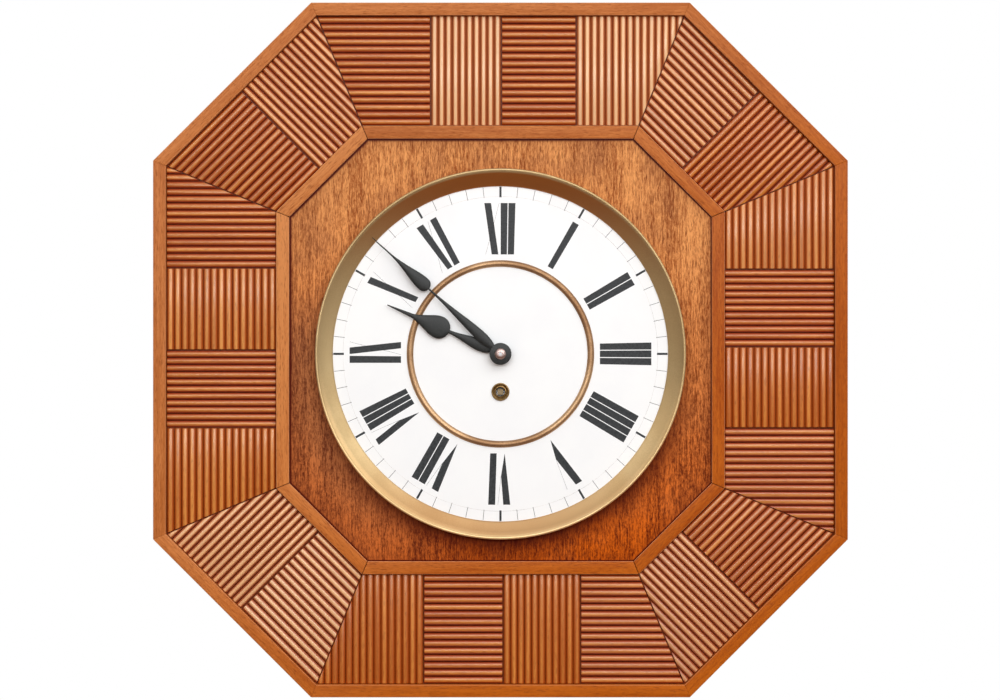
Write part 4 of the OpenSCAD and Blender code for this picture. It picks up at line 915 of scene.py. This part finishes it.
figures.piece("dial_figures", print_black, "case", "enamel")

# %% [markdown]
# ## The minute track
# Sixty short strokes stand on a fine circle, the ones at the hours five times as wide. The
# circle is worn and shows only in places, so it has a fainter black.

# %% Minute track
TICK_IN, TICK_OUT = 137.6, 146.9
HOUR_TICK, MINUTE_TICK = 0.95, 0.19
track = Parts()
for minute in range(60):
    half = HOUR_TICK if minute % 5 == 0 else MINUTE_TICK
    plate(track, 6 * minute, [(-half, TICK_IN), (-half, TICK_OUT), (half, TICK_OUT),
                              (half, TICK_IN)])
track.piece("minute_track", print_black, "case", "enamel")

CIRCLE_IN, CIRCLE_OUT = 138.25, 138.38
circle = [(CIRCLE_IN, PLATE_LOW), (CIRCLE_OUT, PLATE_LOW), (CIRCLE_OUT, PLATE_TOP),
          (CIRCLE_IN, PLATE_TOP)]
turned("track_circle", circle, 180, faint, "enamel", [])

# %% [markdown]
# ## The hands
# Pear hands are filed from thin steel and crowned by hand, then painted or blued to a matte
# black. A crowned blade is a surface of two parameters: s runs from the boss to the tip and
# an angle runs round the section, which is as wide as the outline at s, nearly flat below
# and arched above.

# %% Outline and section of a hand
def outline(root, belly, belly_at, neck, bulb_at, bulb_r, blade, blade_at, tip_w, tip):
    """Half width of the hand for distances from the arbor, in mm: a shaft that swells to
    belly and thins to neck, a round drop, then a hollow side that runs out to the tip."""
    neck_at = bulb_at - bulb_r + 0.4
    shaft = np.concatenate([
        [[root, 2.0]],
        bezier((root, 8.5), (belly * 0.9, belly_at * 0.6), (belly, belly_at * 0.8),
               (belly, belly_at), 12),
        bezier((belly, belly_at), (belly, belly_at + (neck_at - belly_at) * 0.28),
               (neck * 1.3, belly_at + (neck_at - belly_at) * 0.57), (neck, neck_at), 20)])
    drop = np.concatenate([
        bezier((bulb_r, bulb_at + 0.8), (bulb_r, bulb_at + (blade_at - bulb_at) * 0.28),
               (blade * 2.4, bulb_at + (blade_at - bulb_at) * 0.55), (blade, blade_at), 24),
        [[tip_w, tip]]])
    t = np.linspace(0, np.pi / 2, 14)
    ball = np.stack([bulb_r * np.sin(t), bulb_at - bulb_r * np.cos(t)], -1)
    s = np.unique(np.concatenate([shaft[:, 1], ball[:, 1], drop[:, 1],
                                  np.linspace(2, tip, 60)]))
    width = np.interp(s, shaft[:, 1], shaft[:, 0], right=0)
    round_part = np.sqrt(np.maximum(bulb_r**2 - (s - bulb_at) ** 2, 0)) * (s < bulb_at + 0.8)
    width = np.maximum(width * (s <= bulb_at), round_part)
    return s, np.where(s >= bulb_at + 0.8, np.interp(s, drop[:, 1], drop[:, 0]), width)


def crowned_blade(parts, s, width, angle, low, thick):
    """The blade as a grid (s, section). At the angle q round the section a point lies
    width * cos q aside; above it rises by an arch that is higher where the blade is wide."""
    q = np.linspace(0, 2 * np.pi, 16, endpoint=False)
    side = width[:, None] * np.cos(q)[None, :]
    arch = thick * (0.45 + 0.55 * np.sqrt(width / width.max()))[:, None]
    up = np.where(np.sin(q) > 0, np.sin(q), 0.25 * np.sin(q))[None, :] * arch + 0.25 * thick
    along = np.broadcast_to(s[:, None], side.shape)
    a = math.radians(angle)
    x = side * math.cos(a) + along * math.sin(a)
    z = along * math.cos(a) - side * math.sin(a)
    points = np.stack([x, -(low + up), z], -1) * MM + np.array([0, 0, DIAL_Z])
    rows, columns = side.shape
    faces = [f[::-1] for f in grid_quads(rows, columns, wrap_columns=True)]
    parts.add(points, faces + [np.arange(columns),
                               (np.arange(columns) + (rows - 1) * columns)[::-1]])


# %% The two hands
MINUTE_LOW, HOUR_LOW = 92.0, 89.0
MINUTE_ANGLE, HOUR_ANGLE = 312.2, 293.4
minute = Parts()
s, width = outline(root=2.0, belly=4.6, belly_at=23, neck=0.8, bulb_at=90.7, bulb_r=6.1,
                   blade=0.75, blade_at=128.7, tip_w=0.3, tip=151.7)
crowned_blade(minute, s, width, MINUTE_ANGLE, MINUTE_LOW + 0.3, 1.5)
turned_part(minute, np.concatenate([
    [[2.93, MINUTE_LOW], [9.2, MINUTE_LOW]],
    arc((9.05, MINUTE_LOW + 1.2), 0.6, -50, 80, 7), [[2.93, MINUTE_LOW + 2.0]]]), 72)
minute.piece("pear_minute_hand", hand_black, "minute_train", "black_steel",
             ["minute_hand"])
hour = Parts()
s, width = outline(root=2.4, belly=5.3, belly_at=20, neck=1.5, bulb_at=58.8, bulb_r=9.9,
                   blade=1.9, blade_at=83.8, tip_w=0.45, tip=108.1)
crowned_blade(hour, s, width, HOUR_ANGLE, HOUR_LOW, 1.3)
turned_part(hour, [[3.93, HOUR_LOW], [8.7, HOUR_LOW], [8.8, HOUR_LOW + 0.4],
                   [8.4, HOUR_LOW + 1.3], [3.93, HOUR_LOW + 1.3]], 72)
hour.piece("pear_hour_hand", hand_black, "hour_train", "black_steel", ["hour_hand"])

# %% [markdown]
# ## Nut and grommet
# A domed nut on the centre arbor holds the minute hand and turns with it. A brass grommet
# lines the winding hole and keeps the key off the enamel. Both are turned work, so their
# profiles go round in the same way as the bezel's.

# %% Nut and grommet
nut_profile = np.concatenate([[[1.63, 94.0], [4.75, 94.0], [4.9, 94.3]],
                              bezier((4.9, 94.9), (4.7, 96.0), (3.5, 96.6), (1.63, 96.6), 12)])
turned("domed_hand_nut", nut_profile, 64, nut_steel, "steel", ["hand_nut"],
       body="minute_train")
WINDING_DOWN = 33.4
WINDING = (0.0, DIAL_Z - WINDING_DOWN * MM)
grommet_profile = np.concatenate([
    [[4.0, 82.0], [6.4, 82.0], [6.4, 85.5], [7.9, 85.5]],
    arc((7.2, 86.2), 0.7, 0, 150, 9), [[5.5, 85.85], [5.1, 86.2]],
    arc((4.6, 86.0), 0.35, 40, 150, 5), [[4.0, 85.6]]])
turned("brass_winding_grommet", grommet_profile, 64, grommet_brass, "aged_brass",
       ["winding_grommet"], centre=WINDING)

# %% [markdown]
# ## The click's spring
# The click is pressed into its ratchet by a bent blade on the front plate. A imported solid
# can't bend, so the blade is drawn here with the solid's own outline and place. It stays
# with the plate at its foot, goes with the click at its tip, and bends between them.

# %% Click spring
BLADE_T, SPRING_FOOT_R = 0.5, 2.5
BLADE_INSET = 0.15 * MM
BLADE_STEPS, RIM_STEPS = 19, 24


def from_winding(r, angle):
    """The point (x, z) in mm from the hands' arbor that lies at the distance r and at an
    angle in degrees from the winding arbor."""
    a = math.radians(angle)
    return np.array([r * math.cos(a), r * math.sin(a) - WINDING_DOWN])


def at_depth(xz, y):
    """Points (x, z) in mm from the hands' arbor, at the depth y, as points of the clock."""
    x, z = xz[..., 0] * MM, xz[..., 1] * MM + DIAL_Z
    return np.stack(np.broadcast_arrays(x, y, z), -1)


foot, tip = from_winding(26, -42), from_winding(13.85, -57)
outer = bezier(foot + [0, -2], foot + [-6, -1.5], tip + [4, -4], tip, BLADE_STEPS)
inner = bezier(foot + [0, BLADE_T - 2], foot + [-6, BLADE_T - 1.5],
               tip + [4 + BLADE_T, BLADE_T - 4], tip + BLADE_T, BLADE_STEPS)
rim = arc(foot, SPRING_FOOT_R, 0, 345, RIM_STEPS)
front, rear = (corner.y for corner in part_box("click_spring"))
low, high = front + BLADE_INSET, rear - BLADE_INSET
spring = Parts()
blade = at_depth(np.stack([outer, inner, inner, outer], 1), [low, low, high, high])
end = np.arange(4)
spring.add(blade, [*grid_quads(BLADE_STEPS, 4, wrap_columns=True), end[::-1],
                   end + (BLADE_STEPS - 1) * 4])
end = np.arange(RIM_STEPS) * 2
spring.add(at_depth(np.stack([rim, rim], 1), [front, rear]),
           [*grid_quads(RIM_STEPS, 2, wrap_rows=True), end, (end + 1)[::-1]])
spring.piece("bent_click_spring", blued_steel, "case", "blued_steel", ["click_spring"],
             bend=("click_arm", at_depth(foot, front), at_depth(tip, front)))

# %% [markdown]
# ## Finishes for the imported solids
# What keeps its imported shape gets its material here: the panel and boards, the enamel discs,
# the hanger and its screws, and the whole movement, which shows when the model is opened.
# The barrel arbor has a steel of its own, because its square shows in the winding hole.

# %% Materials by the record's slots
SLOT_MATERIALS = {
    "outer_wood": outer_wood, "reed_wood": reed_wood, "strip_wood": strip_wood,
    "panel_wood": panel_wood, "base_wood": base_wood, "back_wood": back_wood,
    "enamel": enamel, "aged_brass": bezel_brass, "brass": brass, "steel": steel,
    "blued_steel": blued_steel, "black_steel": hand_black}
for part in frame["record"]["subparts"]:
    node = frame["nodes"][part["node"]]
    material = SLOT_MATERIALS[part["material_slot"]]
    if not node.material_slots:
        node.data.materials.append(material)
    for slot in node.material_slots:
        slot.material = material
for slot in frame["nodes"]["barrel_arbor"].material_slots:
    slot.material = square_steel

# %% [markdown]
# ## Wall and floor
# The clock hangs on a plain wall above a pale floor. The wall is a white card that only the
# camera and mirrors see, and only from the front. All other light goes through it, and so
# does the view from behind, so the back of the clock can be looked at and is lit as well.

# %% The stage
def wall_material():
    """White for camera, mirror and glass rays that meet its front, and clear for the rest."""
    material = bpy.data.materials.new("white wall")
    material.use_nodes = True
    n = Nodes(material.node_tree)
    path = n.new("ShaderNodeLightPath").outputs
    seen = n.math("MAXIMUM", path["Is Camera Ray"], path["Is Glossy Ray"])
    seen = n.math("MAXIMUM", seen, path["Is Transmission Ray"])
    behind = n.new("ShaderNodeNewGeometry").outputs["Backfacing"]
    mix = n.new("ShaderNodeMixShader")
    n.feed(mix.inputs[0], n.math("MULTIPLY", seen, n.math("SUBTRACT", 1.0, behind)))
    n.feed(mix.inputs[1], n.new("ShaderNodeBsdfTransparent").outputs[0])
    n.feed(mix.inputs[2], n.new("ShaderNodeEmission").outputs[0])
    n.feed(material.node_tree.nodes["Material Output"].inputs["Surface"], mix.outputs[0])
    material.node_tree.nodes.remove(material.node_tree.nodes["Principled BSDF"])
    return material


def floor_material():
    """A pale plaster with soft blotches."""
    material, n, shader = new_material("pale floor", Roughness=0.9, Specular_IOR_Level=0.1)
    soft = n.noise(n.object_coordinates(), 3, detail=2)
    n.feed(shader["Base Color"], n.mix(soft, linear(206, 192, 176), linear(236, 236, 234)))
    return material


def plane(name, corners, material):
    """A flat card for the stage, which isn't part of the clock."""
    mesh = bpy.data.meshes.new(name)
    mesh.from_pydata(corners, [], [(0, 1, 2, 3)])
    mesh.materials.append(material)
    obj = bpy.data.objects.new(name, mesh)
    bpy.context.scene.collection.objects.link(obj)


FLOOR_Z, WALL_Y = -2.0, 0.002
plane("wall", [(-2, WALL_Y, FLOOR_Z), (2, WALL_Y, FLOOR_Z), (2, WALL_Y, 2),
               (-2, WALL_Y, 2)], wall_material())
plane("floor", [(-1, -1, FLOOR_Z), (1, -1, FLOOR_Z), (1, WALL_Y, FLOOR_Z),
                (-1, WALL_Y, FLOOR_Z)], floor_material())
print("wall and floor in place")

# %% [markdown]
# ## Light
# A long low window behind the camera and a wide skylight above it light the clock, as two
# soft lamps. The room round them is a plain gradient: darker and warmer below, which gives
# the top of the bezel its brown, and brighter above, to the right and behind the wall.

# %% Lamps
def lamp(name, place, size, power):
    """A rectangular lamp that faces the clock and isn't seen by the camera itself."""
    data = bpy.data.lights.new(name, "AREA")
    data.shape, data.size, data.size_y, data.energy = "RECTANGLE", *size, power
    obj = bpy.data.objects.new(name, data)
    bpy.context.scene.collection.objects.link(obj)
    obj.location = place
    obj.rotation_euler = Vector(place).to_track_quat("Z", "Y").to_euler()
    obj.visible_camera = False


lamp("long window behind the camera", (0.2, -2.5, 0.50), (4.0, 0.32), 34)
lamp("skylight", (0.75, -1.85, 1.4), (3.4, 1.2), 24)

# %% The room
world = bpy.data.worlds.new("room")
world.use_nodes = True
bpy.context.scene.world = world
n = Nodes(world.node_tree)
way = n.xyz(n.new("ShaderNodeTexCoord").outputs["Generated"])
level = n.math("ADD", way["Z"], n.math("MULTIPLY", way["X"], 0.12))
lower = n.mix(n.ramp(level, -0.45, 0.05), (0.29, 0.15, 0.085, 1), (0.46, 0.45, 0.43, 1))
sky = n.mix(n.ramp(level, 0.0, 0.6), lower, (0.92, 0.93, 0.94, 1))
sky = n.mix(n.ramp(way["Y"], 0.0, 0.5), sky, (0.95, 0.95, 0.95, 1))
n.feed(world.node_tree.nodes["Background"].inputs["Color"], sky)
world.node_tree.nodes["Background"].inputs["Strength"].default_value = 0.71
print("lamps:", [data.name for data in bpy.data.lights])

# %% [markdown]
# ## Camera
# The camera looks straight at the clock with a long lens. The lens sees a frame as wide as
# the sensor at the distance of its focal length, so the distance for a frame of FRAME_W on
# the plane of the reeds is FRAME_W * LENS / SENSOR.

# %% Camera
PICTURE_W, MM_PER_PIXEL = 1000, 0.8777
LENS, SENSOR, FRAME_W = 90, 36, PICTURE_W * MM_PER_PIXEL * MM
camera_data = bpy.data.cameras.new("camera")
camera_data.lens, camera_data.sensor_width = LENS, SENSOR
camera = bpy.data.objects.new("camera", camera_data)
bpy.context.scene.collection.objects.link(camera)
camera.location = (-0.4 * MM, -CASE_DEPTH - FRAME_W * LENS / SENSOR, 0)
camera.rotation_euler = (math.radians(90), 0, 0)
bpy.context.scene.camera = camera
bpy.context.scene.view_settings.view_transform = "Standard"
print("camera at", [round(x, 3) for x in camera.location])
